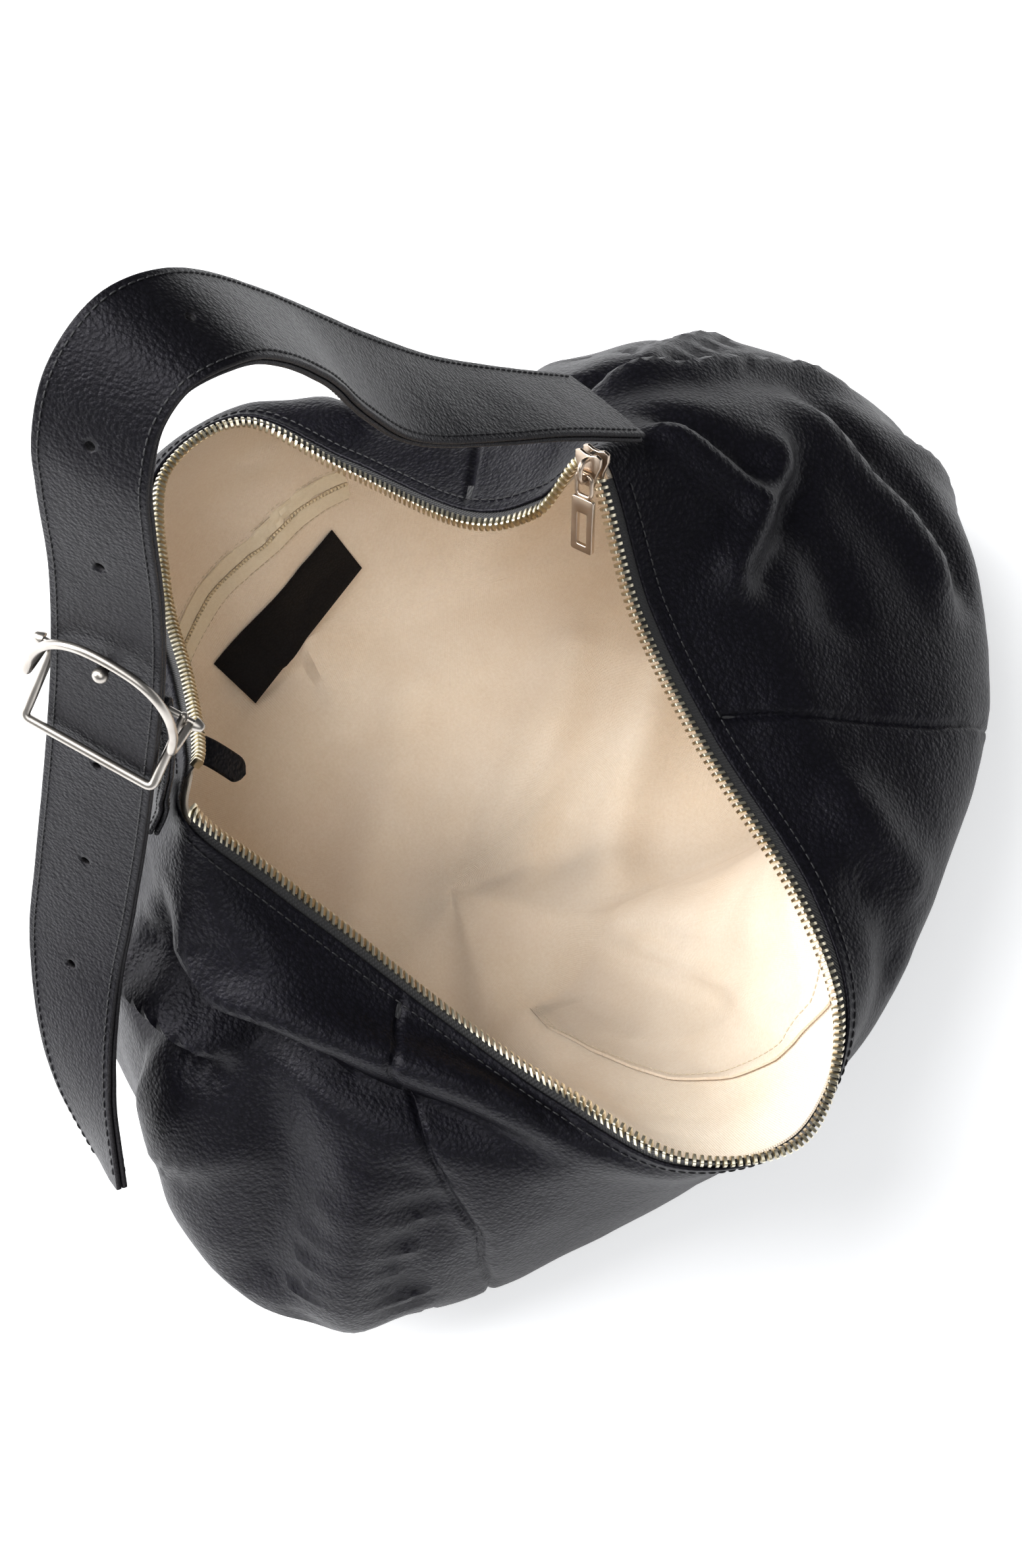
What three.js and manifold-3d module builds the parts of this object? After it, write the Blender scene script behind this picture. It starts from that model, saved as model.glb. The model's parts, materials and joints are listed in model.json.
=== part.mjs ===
// Hobo bag, millimetres, +Z up, standing open on its base.
// +X runs from the buckle end of the mouth to the slider end, -Y is the front.
import * as THREE from 'three';
import { mergeVertices } from 'three/addons/utils/BufferGeometryUtils.js';
import Module from 'manifold-3d';

// ---- driving dimensions ----
const LEATHER_THICK = 1.4;        // body leather
const LINING_DEPTH = 3.2;         // from the outer face of the leather to the lining
const LINING_THICK = 0.8;
const SEAM_GAP = 0.35;            // half of the gap left between two panels
const TAPE_THICK = 0.8;
const TAPE_DEPTH = 1.8;           // tape lies this far behind the outer face
const TAPE_ABOVE = 4.5;           // stands clear of the leather edge
const RAIL_HEIGHT = 3.2;          // row of metal teeth
const RAIL_THICK = 2.4;
const STRAP_WIDTH = 38;
const STRAP_LAYER = 1.9;          // each of the two leather layers
const HOLE_RADIUS = 2.1;
const HOLE_SPACING = 52;
const FIRST_HOLE = 265;           // along the strap from its sewn end
const HOLE_COUNT = 7;
const PEG_HOLE = 3;               // number of the hole the peg sits in
const SWING_AXIS = { y: 6, z: 228 };
const SWING_RADIUS = 25;          // the sewn ends stay inside this radius of the swing axis
const ROD = 3;                    // buckle wire diameter

// Stations round the body. The heel and the foot each keep one height all the way round.
const STATIONS = [
  {
    rim: [-97, 0, 225], shoulder: [-111, -4, 190], belly: [-142, -10, 95],
    heel: [-132, -12], foot: [-104, -12],
  },
  {
    rim: [-88, -28, 202], shoulder: [-114, -46, 176], belly: [-162, -50, 80],
    heel: [-142, -46], foot: [-108, -36],
  },
  {
    rim: [-78, -58, 180], shoulder: [-108, -84, 158], belly: [-157, -96, 64],
    heel: [-134, -84], foot: [-100, -60],
  },
  {
    rim: [-70, -90, 164], shoulder: [-90, -116, 148], belly: [-117, -133, 62],
    heel: [-100, -118], foot: [-74, -86],
  },
  {
    rim: [-60, -134, 150], shoulder: [-68, -148, 136], belly: [-66, -154, 74],
    heel: [-58, -140], foot: [-44, -104],
  },
  {
    rim: [-45, -177, 140], shoulder: [-44, -177, 122], belly: [-26, -172, 80],
    heel: [-18, -150], foot: [-10, -114],
  },
  {
    rim: [-8, -199, 137], shoulder: [-3, -189, 118], belly: [16, -180, 84],
    heel: [20, -150], foot: [18, -116],
  },
  {
    rim: [34, -182, 140], shoulder: [50, -178, 120], belly: [66, -174, 88],
    heel: [62, -146], foot: [50, -112],
  },
  {
    rim: [58, -142, 147], shoulder: [88, -150, 130], belly: [122, -154, 92],
    heel: [108, -128], foot: [84, -96],
  },
  {
    rim: [70, -84, 164], shoulder: [112, -104, 150], belly: [173, -126, 92],
    heel: [150, -104], foot: [114, -76],
  },
  {
    rim: [80, -42, 190], shoulder: [138, -58, 168], belly: [222, -72, 92],
    heel: [190, -62], foot: [140, -46],
  },
  {
    rim: [97, 0, 225], shoulder: [160, -8, 184], belly: [243, -14, 84],
    heel: [206, -12], foot: [150, -8],
  },
  {
    rim: [80, 14, 198], shoulder: [140, 43, 175], belly: [222, 52, 84],
    heel: [188, 44], foot: [138, 32],
  },
  {
    rim: [66, 36, 180], shoulder: [108, 66, 155], belly: [164, 88, 84],
    heel: [142, 74], foot: [104, 54],
  },
  {
    rim: [60, 88, 157], shoulder: [80, 108, 140], belly: [104, 118, 82],
    heel: [90, 98], foot: [68, 72],
  },
  {
    rim: [48, 132, 149], shoulder: [54, 142, 132], belly: [50, 144, 78],
    heel: [42, 118], foot: [32, 88],
  },
  {
    rim: [8, 136, 150], shoulder: [4, 146, 130], belly: [-14, 140, 78],
    heel: [-14, 116], foot: [-10, 88],
  },
  {
    rim: [-28, 98, 163], shoulder: [-42, 112, 142], belly: [-64, 112, 76],
    heel: [-58, 96], foot: [-44, 74],
  },
  {
    rim: [-54, 56, 184], shoulder: [-74, 72, 158], belly: [-102, 72, 76],
    heel: [-94, 64], foot: [-74, 48],
  },
  {
    rim: [-76, 24, 206], shoulder: [-96, 32, 178], belly: [-126, 30, 84],
    heel: [-118, 28], foot: [-92, 22],
  },
];
const HEEL_Z = 12;
const FOOT_Z = 0.9;
const SEAM_FRONT_LEFT = 3;
const SEAM_FRONT_RIGHT = 9;
const SLIDER_TIP = 11;
const SEAM_BACK_RIGHT = 13;
const SEAM_BACK_LEFT = 18;

// Long strap: distance from the sewn end, middle of the outer face, direction across the strap.
const STRAP_PATH = [
  { at: 0, mid: [110, 11, 228], across: [0.02, -0.99, 0.10] },
  { at: 40, mid: [80, 16, 261], across: [-0.05, -0.99, 0.10] },
  { at: 80, mid: [53, 21, 289], across: [-0.20, -0.98, 0.00] },
  { at: 120, mid: [28, 25, 320], across: [-0.37, -0.91, -0.16] },
  { at: 160, mid: [9, 28, 355], across: [-0.29, -0.95, -0.13] },
  { at: 200, mid: [-8, 28, 391], across: [-0.12, -0.99, -0.09] },
  { at: 240, mid: [-28, 28, 425], across: [-0.02, -0.99, -0.11] },
  { at: 262, mid: [-43, 28, 441], across: [0.02, -0.99, -0.14] },
  { at: 282, mid: [-62, 30, 446], across: [0.09, -0.98, -0.18] },
  { at: 302, mid: [-79, 29, 437], across: [0.20, -0.97, -0.15] },
  { at: 322, mid: [-90, 25, 420], across: [0.28, -0.95, -0.09] },
  { at: 342, mid: [-94, 22, 401], across: [0.31, -0.95, -0.05] },
  { at: 380, mid: [-98, 18, 363], across: [0.32, -0.95, 0.00] },
  { at: 420, mid: [-104, 16, 323], across: [0.33, -0.94, 0.00] },
  { at: 460, mid: [-112, 15, 284], across: [0.30, -0.95, 0.00] },
  { at: 500, mid: [-121, 14, 245], across: [0.29, -0.95, 0.01] },
  { at: 540, mid: [-132, 12, 207], across: [0.26, -0.96, 0.09] },
  { at: 580, mid: [-146, 7, 170], across: [0.22, -0.92, 0.30] },
  { at: 620, mid: [-164, -11, 139], across: [0.10, -0.77, 0.62] },
  { at: 655, mid: [-177, -38, 117], across: [-0.16, -0.44, 0.88] },
];

// ---- colours ----
const BLACK_LEATHER = { color: 0x141317, roughness: 0.55, metalness: 0 };
const CREAM_CLOTH = { color: 0xe9dfcb, roughness: 0.9, metalness: 0 };
const BLACK_TAPE = { color: 0x17161a, roughness: 0.85, metalness: 0 };
const PALE_BRASS = { color: 0xcdc3a4, roughness: 0.35, metalness: 1 };
const SATIN_NICKEL = { color: 0xb8b2aa, roughness: 0.32, metalness: 1 };

const bag = new THREE.Group();
bag.name = 'hobo_bag';

function vec(values) {
  return new THREE.Vector3(values[0], values[1], values[2]);
}

function addMesh(name, geometry, look) {
  const mesh = new THREE.Mesh(geometry, new THREE.MeshStandardMaterial(look));
  mesh.name = name;
  bag.add(mesh);
  return mesh;
}

// ---- smooth curves through points ----
function catmull(a, b, c, d, t) {
  const out = new THREE.Vector3();
  for (const axis of ['x', 'y', 'z']) {
    const p0 = a[axis];
    const p1 = b[axis];
    const p2 = c[axis];
    const p3 = d[axis];
    const lift = 2 * p1 + (p2 - p0) * t + (2 * p0 - 5 * p1 + 4 * p2 - p3) * t * t
      + (3 * p1 - p0 - 3 * p2 + p3) * t * t * t;
    out[axis] = lift / 2;
  }
  return out;
}

const COUNT = STATIONS.length;
const COLUMNS_PER_STATION = 3;
const FLAT_HEIGHT = { heel: HEEL_Z, foot: FOOT_Z };

function ringPoint(key, s) {
  const whole = Math.floor(s);
  const pick = (k) => {
    const [x, y, z] = STATIONS[(((whole + k) % COUNT) + COUNT) % COUNT][key];
    return new THREE.Vector3(x, y, z ?? FLAT_HEIGHT[key]);
  };
  return catmull(pick(-1), pick(0), pick(1), pick(2), s - whole);
}

// The two front seams wander to one side and the other on their way down: [v, stations to one side].
const SEAM_BENDS = [
  { seam: SEAM_FRONT_LEFT, line: [[0, -0.4], [0.75, -0.62], [1.2, -0.15], [1.6, 0.28], [2.2, 0.4], [4, 0.1]] },
  { seam: SEAM_FRONT_RIGHT, line: [[0, 0.16], [1, 0], [1.5, -0.1], [2.2, -0.05], [4, 0]] },
];
const BEND_REACH = 1.6;           // stations on each side of a seam that bend with it

function bent(s, v) {
  let moved = s;
  for (const { seam, line } of SEAM_BENDS) {
    const away = Math.abs(((s - seam + 1.5 * COUNT) % COUNT) - COUNT / 2);
    const share = Math.max(0, 1 - away / BEND_REACH);
    const next = Math.max(1, line.findIndex(([row]) => row >= v));
    const [rowA, sideA] = line[next - 1];
    const [rowB, sideB] = line[next];
    const side = sideA + ((sideB - sideA) * (v - rowA)) / (rowB - rowA);
    moved += side * share * share * (3 - 2 * share);
  }
  return moved;
}

// Outer face of the body: s goes round, v goes from the rim (0) to the foot (4).
function bodyPoint(round, v) {
  const s = bent(round, v);
  const rows = ['rim', 'shoulder', 'belly', 'heel', 'foot'].map((key) => ringPoint(key, s));
  const above = rows[0].clone().multiplyScalar(2).sub(rows[1]);
  const inside = rows[4].clone().multiplyScalar(2).sub(rows[3]);
  inside.z = FOOT_Z;
  const points = [above, ...rows, inside];
  const whole = Math.min(3, Math.max(0, Math.floor(v)));
  return catmull(points[whole], points[whole + 1], points[whole + 2], points[whole + 3], v - whole);
}

function bodyNormal(s, v) {
  const step = 0.01;
  const low = Math.max(0, v - step);
  const high = Math.min(4, v + step);
  const round = bodyPoint(s + step, v).sub(bodyPoint(s - step, v));
  const down = bodyPoint(s, high).sub(bodyPoint(s, low));
  return round.cross(down).normalize().negate();
}

function bodyDepth(s, v, depth) {
  return bodyPoint(s, v).addScaledVector(bodyNormal(s, v), -depth);
}

// ---- closed solid from an outer and an inner grid of points ----
function slab(outer, inner, wraps) {
  const rows = outer.length;
  const columns = outer[0].length;
  const positions = [];
  for (const grid of [outer, inner]) {
    for (const row of grid) {
      for (const point of row) {
        positions.push(point.x, point.y, point.z);
      }
    }
  }
  const half = rows * columns;
  const faces = [];
  const quad = (a, b, c, d) => {
    faces.push(a, b, c, a, c, d);
  };
  const lastColumn = wraps ? columns : columns - 1;
  for (let i = 0; i < rows - 1; i += 1) {
    for (let j = 0; j < lastColumn; j += 1) {
      const k = (j + 1) % columns;
      const a = i * columns + j;
      const b = i * columns + k;
      const c = (i + 1) * columns + k;
      const d = (i + 1) * columns + j;
      quad(a, d, c, b);
      quad(half + a, half + b, half + c, half + d);
    }
  }
  for (let j = 0; j < lastColumn; j += 1) {
    const k = (j + 1) % columns;
    const end = (rows - 1) * columns;
    quad(j, k, half + k, half + j);
    quad(end + j, half + end + j, half + end + k, end + k);
  }
  if (!wraps) {
    for (let i = 0; i < rows - 1; i += 1) {
      const a = i * columns;
      const d = (i + 1) * columns;
      const b = a + columns - 1;
      const c = d + columns - 1;
      quad(a, half + a, half + d, d);
      quad(b, c, half + c, half + b);
    }
  }
  const geometry = new THREE.BufferGeometry();
  geometry.setAttribute('position', new THREE.Float32BufferAttribute(positions, 3));
  geometry.setIndex(faces);
  if (volumeOf(geometry) < 0) {
    flip(geometry);
  }
  return geometry;
}

function flip(geometry) {
  const index = geometry.getIndex();
  for (let i = 0; i < index.count; i += 3) {
    const keep = index.getX(i + 1);
    index.setX(i + 1, index.getX(i + 2));
    index.setX(i + 2, keep);
  }
}

function volumeOf(geometry) {
  const place = geometry.getAttribute('position');
  const index = geometry.getIndex();
  const a = new THREE.Vector3();
  const b = new THREE.Vector3();
  const c = new THREE.Vector3();
  let total = 0;
  for (let i = 0; i < index.count; i += 3) {
    a.fromBufferAttribute(place, index.getX(i));
    b.fromBufferAttribute(place, index.getX(i + 1));
    c.fromBufferAttribute(place, index.getX(i + 2));
    total += a.dot(b.cross(c)) / 6;
  }
  return total;
}

function steps(from, to, count) {
  return Array.from({ length: count + 1 }, (_, i) => from + ((to - from) * i) / count);
}

// How far s moves for one millimetre along the ring at height v.
function perMillimetre(s, v) {
  const step = 0.05;
  return (2 * step) / bodyPoint(s + step, v).distanceTo(bodyPoint(s - step, v));
}

const WALL_ROWS = [0, 0.25, 0.6, 1, 1.35, 1.7, 2, 2.4, 2.75, 3, 3.3, 3.65, 4];

// Shared columns: the two ends, and every third of a station between them.
function columnsBetween(from, to) {
  const inner = [];
  for (let k = Math.floor(from * COLUMNS_PER_STATION) + 1; k < to * COLUMNS_PER_STATION; k += 1) {
    inner.push(k / COLUMNS_PER_STATION);
  }
  return [from, ...inner, to];
}

function wallPanel(from, to, front, back, rows, trim) {
  const middle = columnsBetween(from, to).slice(1, -1);
  const grid = (depth) => rows.map((v) => {
    const start = from + trim * perMillimetre(from, v);
    const end = to - trim * perMillimetre(to, v);
    return [start, ...middle, end].map((s) => bodyDepth(s, v, depth));
  });
  return slab(grid(front), grid(back), false);
}

function flatPlate(outline, low, high) {
  const shape = new THREE.Shape(outline.map((p) => new THREE.Vector2(p.x, p.y)));
  const geometry = new THREE.ExtrudeGeometry(shape, { depth: high - low, bevelEnabled: false });
  geometry.translate(0, 0, low);
  return geometry;
}

// ---- body ----
const PANELS = {
  front: [SEAM_FRONT_LEFT, SEAM_FRONT_RIGHT],
  right: [SEAM_FRONT_RIGHT, SEAM_BACK_RIGHT],
  back: [SEAM_BACK_RIGHT, SEAM_BACK_LEFT],
  left: [SEAM_BACK_LEFT, SEAM_FRONT_LEFT + COUNT],
};
for (const [side, [from, to]] of Object.entries(PANELS)) {
  addMesh(`panel_${side}`, wallPanel(from, to, 0, LEATHER_THICK, WALL_ROWS, SEAM_GAP), BLACK_LEATHER);
}

const ringSteps = steps(0, COUNT, 60).slice(0, -1);

function insetRing(depth, inset) {
  return ringSteps.map((s) => {
    const inward = ringPoint('foot', s).sub(ringPoint('heel', s)).setZ(0).normalize();
    return bodyDepth(s, 4, depth).addScaledVector(inward, inset);
  });
}
const BASE_THICK = 1.8;
const BASE_INSET = 1.2;
addMesh('base_panel', flatPlate(insetRing(0, BASE_INSET), 0, BASE_THICK), BLACK_LEATHER);

// ---- lining ----
const LINING_BACK = LINING_DEPTH + LINING_THICK;
for (const [side, [from, to]] of Object.entries({ front: [0, SLIDER_TIP], back: [SLIDER_TIP, COUNT] })) {
  const wall = wallPanel(from, to, LINING_DEPTH, LINING_BACK, WALL_ROWS, SEAM_GAP);
  addMesh(`lining_${side}`, wall, CREAM_CLOTH);
}
const floorLow = FOOT_Z + LINING_DEPTH;
const floorRing = insetRing(LINING_BACK, LINING_THICK);
addMesh('lining_floor', flatPlate(floorRing, floorLow, floorLow + LINING_THICK), CREAM_CLOTH);

// ---- main zip: tape and metal rail along each side of the mouth ----
function rimFrame(s) {
  const rim = bodyPoint(s, 0);
  const up = rim.clone().sub(bodyPoint(s, 0.12)).normalize();
  const out = bodyNormal(s, 0.02);
  return { rim, up, out };
}

// Ribbon along the rim; each row is a height above the leather edge, or the first wall row below it.
function rimRibbon(from, to, heights, front, back) {
  const grid = (depth) => heights.map((height) => columnsBetween(from, to).map((s) => {
    if (height < 0) {
      return bodyDepth(s, WALL_ROWS[1], depth);
    }
    return bodyDepth(s, 0, depth).addScaledVector(rimFrame(s).up, height);
  }));
  return slab(grid(front), grid(back), false);
}

const TAPE_BACK = TAPE_DEPTH + TAPE_THICK;
const RAIL_LOW = TAPE_ABOVE + 0.35;
const RAIL_FRONT = TAPE_DEPTH + (TAPE_THICK - RAIL_THICK) / 2;
const ZIP_SIDES = { front: [1 / 3, 32 / 3], back: [34 / 3, 58 / 3] };
for (const [side, [from, to]] of Object.entries(ZIP_SIDES)) {
  const tape = rimRibbon(from, to, [TAPE_ABOVE, 0, -1], TAPE_DEPTH, TAPE_BACK);
  addMesh(`zip_tape_${side}`, tape, BLACK_TAPE);
  const rail = rimRibbon(from, to, [RAIL_LOW + RAIL_HEIGHT, RAIL_LOW], RAIL_FRONT, RAIL_FRONT + RAIL_THICK);
  addMesh(`zip_teeth_${side}`, rail, PALE_BRASS);
}

// ---- pieces lying on the lining walls ----
// Point on the flat facets of a wall, at a depth behind the outer face.
function facetPoint(s, v, depth) {
  let row = 0;
  while (row < WALL_ROWS.length - 2 && WALL_ROWS[row + 1] <= v) {
    row += 1;
  }
  const column = Math.floor(s * COLUMNS_PER_STATION);
  const left = column / COLUMNS_PER_STATION;
  const right = (column + 1) / COLUMNS_PER_STATION;
  const down = (v - WALL_ROWS[row]) / (WALL_ROWS[row + 1] - WALL_ROWS[row]);
  const round = (s - left) * COLUMNS_PER_STATION;
  const a = bodyDepth(left, WALL_ROWS[row], depth);
  const b = bodyDepth(right, WALL_ROWS[row], depth);
  const c = bodyDepth(right, WALL_ROWS[row + 1], depth);
  const d = bodyDepth(left, WALL_ROWS[row + 1], depth);
  if (down > round) {
    return a.clone().addScaledVector(d.clone().sub(a), down).addScaledVector(c.clone().sub(d), round);
  }
  return a.clone().addScaledVector(b.clone().sub(a), round).addScaledVector(c.clone().sub(b), down);
}

// Four corners, each [s, v], in order round the piece.
function wallPatch(corners, columns, rowsCount, front, back) {
  const [a, b, c, d] = corners;
  const grid = (depth) => steps(0, 1, rowsCount).map((q) => steps(0, 1, columns).map((p) => {
    const s = (a[0] * (1 - p) + b[0] * p) * (1 - q) + (d[0] * (1 - p) + c[0] * p) * q;
    const v = (a[1] * (1 - p) + b[1] * p) * (1 - q) + (d[1] * (1 - p) + c[1] * p) * q;
    return facetPoint(s, v, depth);
  }));
  return slab(grid(front), grid(back), false);
}
const ON_LINING = LINING_BACK + 0.4;
const patchCorners = [[15.6, 2.85], [14.5, 2.55], [14.35, 2.85], [15.45, 3.2]];
addMesh('label_patch', wallPatch(patchCorners, 8, 4, ON_LINING, ON_LINING + 1.2), BLACK_LEATHER);
const pocketRows = WALL_ROWS.filter((v) => v >= 0.9 && v <= 3.4);
addMesh('slip_pocket', wallPanel(5, 8, ON_LINING, ON_LINING + 0.8, pocketRows, 0), CREAM_CLOTH);
const pocketStrips = {
  pocket_tape_upper: [0, 0.07, 0.7],
  pocket_teeth: [0.11, 0.15, 1.6],
  pocket_tape_lower: [0.19, 0.26, 0.7],
};
for (const [name, [top, bottom, thick]] of Object.entries(pocketStrips)) {
  const corners = [[15.95, 2.3 + top], [14.4, 1.98 + top], [14.4, 1.98 + bottom], [15.95, 2.3 + bottom]];
  addMesh(name, wallPatch(corners, 14, 1, ON_LINING, ON_LINING + thick), CREAM_CLOTH);
}

// ---- strap ----
function strapAt(distance) {
  let i = 1;
  while (i < STRAP_PATH.length - 2 && STRAP_PATH[i].at < distance) {
    i += 1;
  }
  const b = STRAP_PATH[i - 1];
  const c = STRAP_PATH[i];
  const a = STRAP_PATH[Math.max(0, i - 2)];
  const d = STRAP_PATH[Math.min(STRAP_PATH.length - 1, i + 1)];
  const t = (distance - b.at) / (c.at - b.at);
  const blend = (key) => {
    const p = vec(b[key]);
    const q = vec(c[key]);
    const span = c.at - b.at;
    const leave = vec(c[key]).sub(vec(a[key])).multiplyScalar(span / Math.max(c.at - a.at, 1));
    const enter = vec(d[key]).sub(vec(b[key])).multiplyScalar(span / Math.max(d.at - b.at, 1));
    const t2 = t * t;
    const t3 = t2 * t;
    return p.multiplyScalar(2 * t3 - 3 * t2 + 1)
      .addScaledVector(leave, t3 - 2 * t2 + t)
      .addScaledVector(q, -2 * t3 + 3 * t2)
      .addScaledVector(enter, t3 - t2);
  };
  return { mid: blend('mid'), across: blend('across').normalize() };
}

function strapFrame(distance) {
  const here = strapAt(distance);
  const step = 1;
  const along = strapAt(distance + step).mid.sub(strapAt(distance - step).mid).normalize();
  const out = along.clone().cross(here.across).normalize();
  const across = out.clone().cross(along).normalize();
  if (across.dot(here.across) < 0) {
    across.negate();
  }
  return { mid: here.mid, along, across, out };
}

function strapPoint(distance, side, lift) {
  const frame = strapFrame(distance);
  return frame.mid.clone().addScaledVector(frame.across, side).addScaledVector(frame.out, lift);
}

function band(distances, halfWidth, top, bottom) {
  const line = (side, lift) => distances.map((at) => strapPoint(at, side, lift));
  const grid = (lift) => [-halfWidth, 0, halfWidth].map((side) => line(side, lift));
  return slab(grid(top), grid(bottom), false);
}

const wasm = await Module();
wasm.setup();

function toSolid(geometry) {
  const bare = geometry.clone();
  bare.deleteAttribute('normal');
  bare.deleteAttribute('uv');
  const merged = mergeVertices(bare, 1e-4);
  return new wasm.Manifold(new wasm.Mesh({
    numProp: 3,
    vertProperties: new Float32Array(merged.getAttribute('position').array),
    triVerts: new Uint32Array(merged.getIndex().array),
  }));
}

function toGeometry(solid) {
  const mesh = solid.getMesh();
  const geometry = new THREE.BufferGeometry();
  geometry.setAttribute('position', new THREE.Float32BufferAttribute(mesh.vertProperties, 3));
  geometry.setIndex(Array.from(mesh.triVerts));
  return geometry;
}

const WIRE_SIDES = 8;

// Round bar between two points.
function bar(from, to, radius, sides = 10) {
  const way = to.clone().sub(from);
  const geometry = new THREE.CylinderGeometry(radius, radius, way.length(), sides);
  geometry.translate(0, way.length() / 2, 0);
  geometry.applyQuaternion(new THREE.Quaternion().setFromUnitVectors(
    new THREE.Vector3(0, 1, 0), way.clone().normalize(),
  ));
  geometry.translate(from.x, from.y, from.z);
  return toSolid(geometry);
}

// Closed solid through a run of equal outlines: a ring of them, or a rod capped at both ends.
function tubeSolid(rings, closed) {
  const size = rings[0].length;
  const positions = rings.flat().flatMap((p) => [p.x, p.y, p.z]);
  const faces = [];
  const last = closed ? rings.length : rings.length - 1;
  for (let i = 0; i < last; i += 1) {
    const next = (i + 1) % rings.length;
    for (let j = 0; j < size; j += 1) {
      const k = (j + 1) % size;
      faces.push(i * size + j, next * size + j, next * size + k);
      faces.push(i * size + j, next * size + k, i * size + k);
    }
  }
  if (!closed) {
    const end = (rings.length - 1) * size;
    for (let j = 1; j < size - 1; j += 1) {
      faces.push(0, j, j + 1);
      faces.push(end, end + j + 1, end + j);
    }
  }
  const geometry = new THREE.BufferGeometry();
  geometry.setAttribute('position', new THREE.Float32BufferAttribute(positions, 3));
  geometry.setIndex(faces);
  if (volumeOf(geometry) < 0) {
    flip(geometry);
  }
  return toSolid(geometry);
}

// Bent wire with mitred corners: the section slides along each length to the plane of the next corner.
function wire(points, radius, closed = false) {
  const count = points.length;
  const way = (i) => {
    const from = closed ? i + count : Math.min(Math.max(i, 0), count - 2);
    return points[(from + 1) % count].clone().sub(points[from % count]).normalize();
  };
  const side = new THREE.Vector3(0.3, 0.2, 1).cross(way(0)).normalize();
  const up = way(0).cross(side);
  let ring = steps(0, 2 * Math.PI, WIRE_SIDES).slice(0, -1).map((angle) => points[0].clone()
    .addScaledVector(side, radius * Math.cos(angle)).addScaledVector(up, radius * Math.sin(angle)));
  const rings = [];
  for (let i = 0; i < count; i += 1) {
    const facing = way(i - 1).add(way(i)).normalize();
    const along = way(Math.max(0, i - 1));
    const centre = points[i];
    ring = ring.map((p) => p.clone().addScaledVector(
      along, centre.clone().sub(p).dot(facing) / along.dot(facing),
    ));
    rings.push(ring);
  }
  return tubeSolid(rings, closed);
}

// The swing axis runs along X through both tips of the mouth.
function swingCylinder(radius, fromX, toX) {
  const start = new THREE.Vector3(fromX, SWING_AXIS.y, SWING_AXIS.z);
  return bar(start, start.clone().setX(toX), radius, 36);
}

const STRAP_END = STRAP_PATH[STRAP_PATH.length - 1].at;
const strapSteps = [...steps(0, 240, 15), ...steps(248, 352, 13), ...steps(370, STRAP_END, 17)];
const LAYER_GAP = 0.3;
const layers = {
  face: band(strapSteps, STRAP_WIDTH / 2, 0, -STRAP_LAYER),
  back: band(strapSteps, STRAP_WIDTH / 2, -STRAP_LAYER - LAYER_GAP, -2 * STRAP_LAYER - LAYER_GAP),
};
for (const [name, geometry] of Object.entries(layers)) {
  let strap = toSolid(geometry);
  for (let k = 0; k < HOLE_COUNT; k += 1) {
    const at = FIRST_HOLE + k * HOLE_SPACING;
    strap = strap.subtract(bar(strapPoint(at, 0, 4), strapPoint(at, 0, -8), HOLE_RADIUS));
  }
  const root = strap.intersect(swingCylinder(SWING_RADIUS - 0.4, 60, 140));
  const loop = strap.subtract(swingCylinder(SWING_RADIUS, 60, 140));
  addMesh(`strap_${name}`, toGeometry(loop), BLACK_LEATHER);
  addMesh(`strap_${name}_sewn_end`, toGeometry(root), BLACK_LEATHER);
}

// ---- buckle: keeper arch, ring and stud on a bar held by the folded short strap ----
const BAR_AT = 440;               // distance along the long strap
const BAR_DEPTH = 10.2;           // behind the outer face of the strap
const BAR_RADIUS = 1.2;
const RING_HALF = 23;
const RING_REACH = 24;
const PLATE_HALF = 25.7;
const BUCKLE_SKEW = 0.1;           // turned a little on the strap, radians
const rodRadius = ROD / 2;
const grip = strapFrame(BAR_AT);
const gripAlong = grip.along.clone().multiplyScalar(Math.cos(BUCKLE_SKEW))
  .addScaledVector(grip.across, -Math.sin(BUCKLE_SKEW));
const gripAcross = grip.across.clone().multiplyScalar(Math.cos(BUCKLE_SKEW))
  .addScaledVector(grip.along, Math.sin(BUCKLE_SKEW));

// Point by the buckle: down the strap, across it, and out from its face.
function buckle(down, side, out) {
  return grip.mid.clone().addScaledVector(gripAlong, down)
    .addScaledVector(gripAcross, side).addScaledVector(grip.out, out);
}

function eye(side, halfWidth, thick) {
  const outerEnd = side * (halfWidth + thick / 2);
  const innerEnd = side * (halfWidth - thick / 2);
  return bar(buckle(0, innerEnd, -BAR_DEPTH), buckle(0, outerEnd, -BAR_DEPTH), 3, 16);
}
const barHole = bar(buckle(0, -40, -BAR_DEPTH), buckle(0, 40, -BAR_DEPTH), BAR_RADIUS + 0.35, 12);
const buckleBar = bar(buckle(0, -29, -BAR_DEPTH), buckle(0, 29, -BAR_DEPTH), BAR_RADIUS, 12);
addMesh('buckle_bar', toGeometry(buckleBar), SATIN_NICKEL);

const ringPath = [];
for (const side of [-1, 1]) {
  const run = [
    buckle(2.5, side * RING_HALF, -BAR_DEPTH + 1), buckle(RING_REACH - 5, side * RING_HALF, 0.5),
    buckle(RING_REACH - 1.5, side * (RING_HALF - 1.2), 2.2), buckle(RING_REACH, side * (RING_HALF - 4), 2.8),
  ];
  ringPath.push(...(side < 0 ? run : run.reverse()));
}
let ring = wire(ringPath, rodRadius);
for (const side of [-1, 1]) {
  ring = ring.add(eye(side, RING_HALF, 2.4));
}
addMesh('buckle_ring', toGeometry(ring.subtract(barHole)), SATIN_NICKEL);

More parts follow.
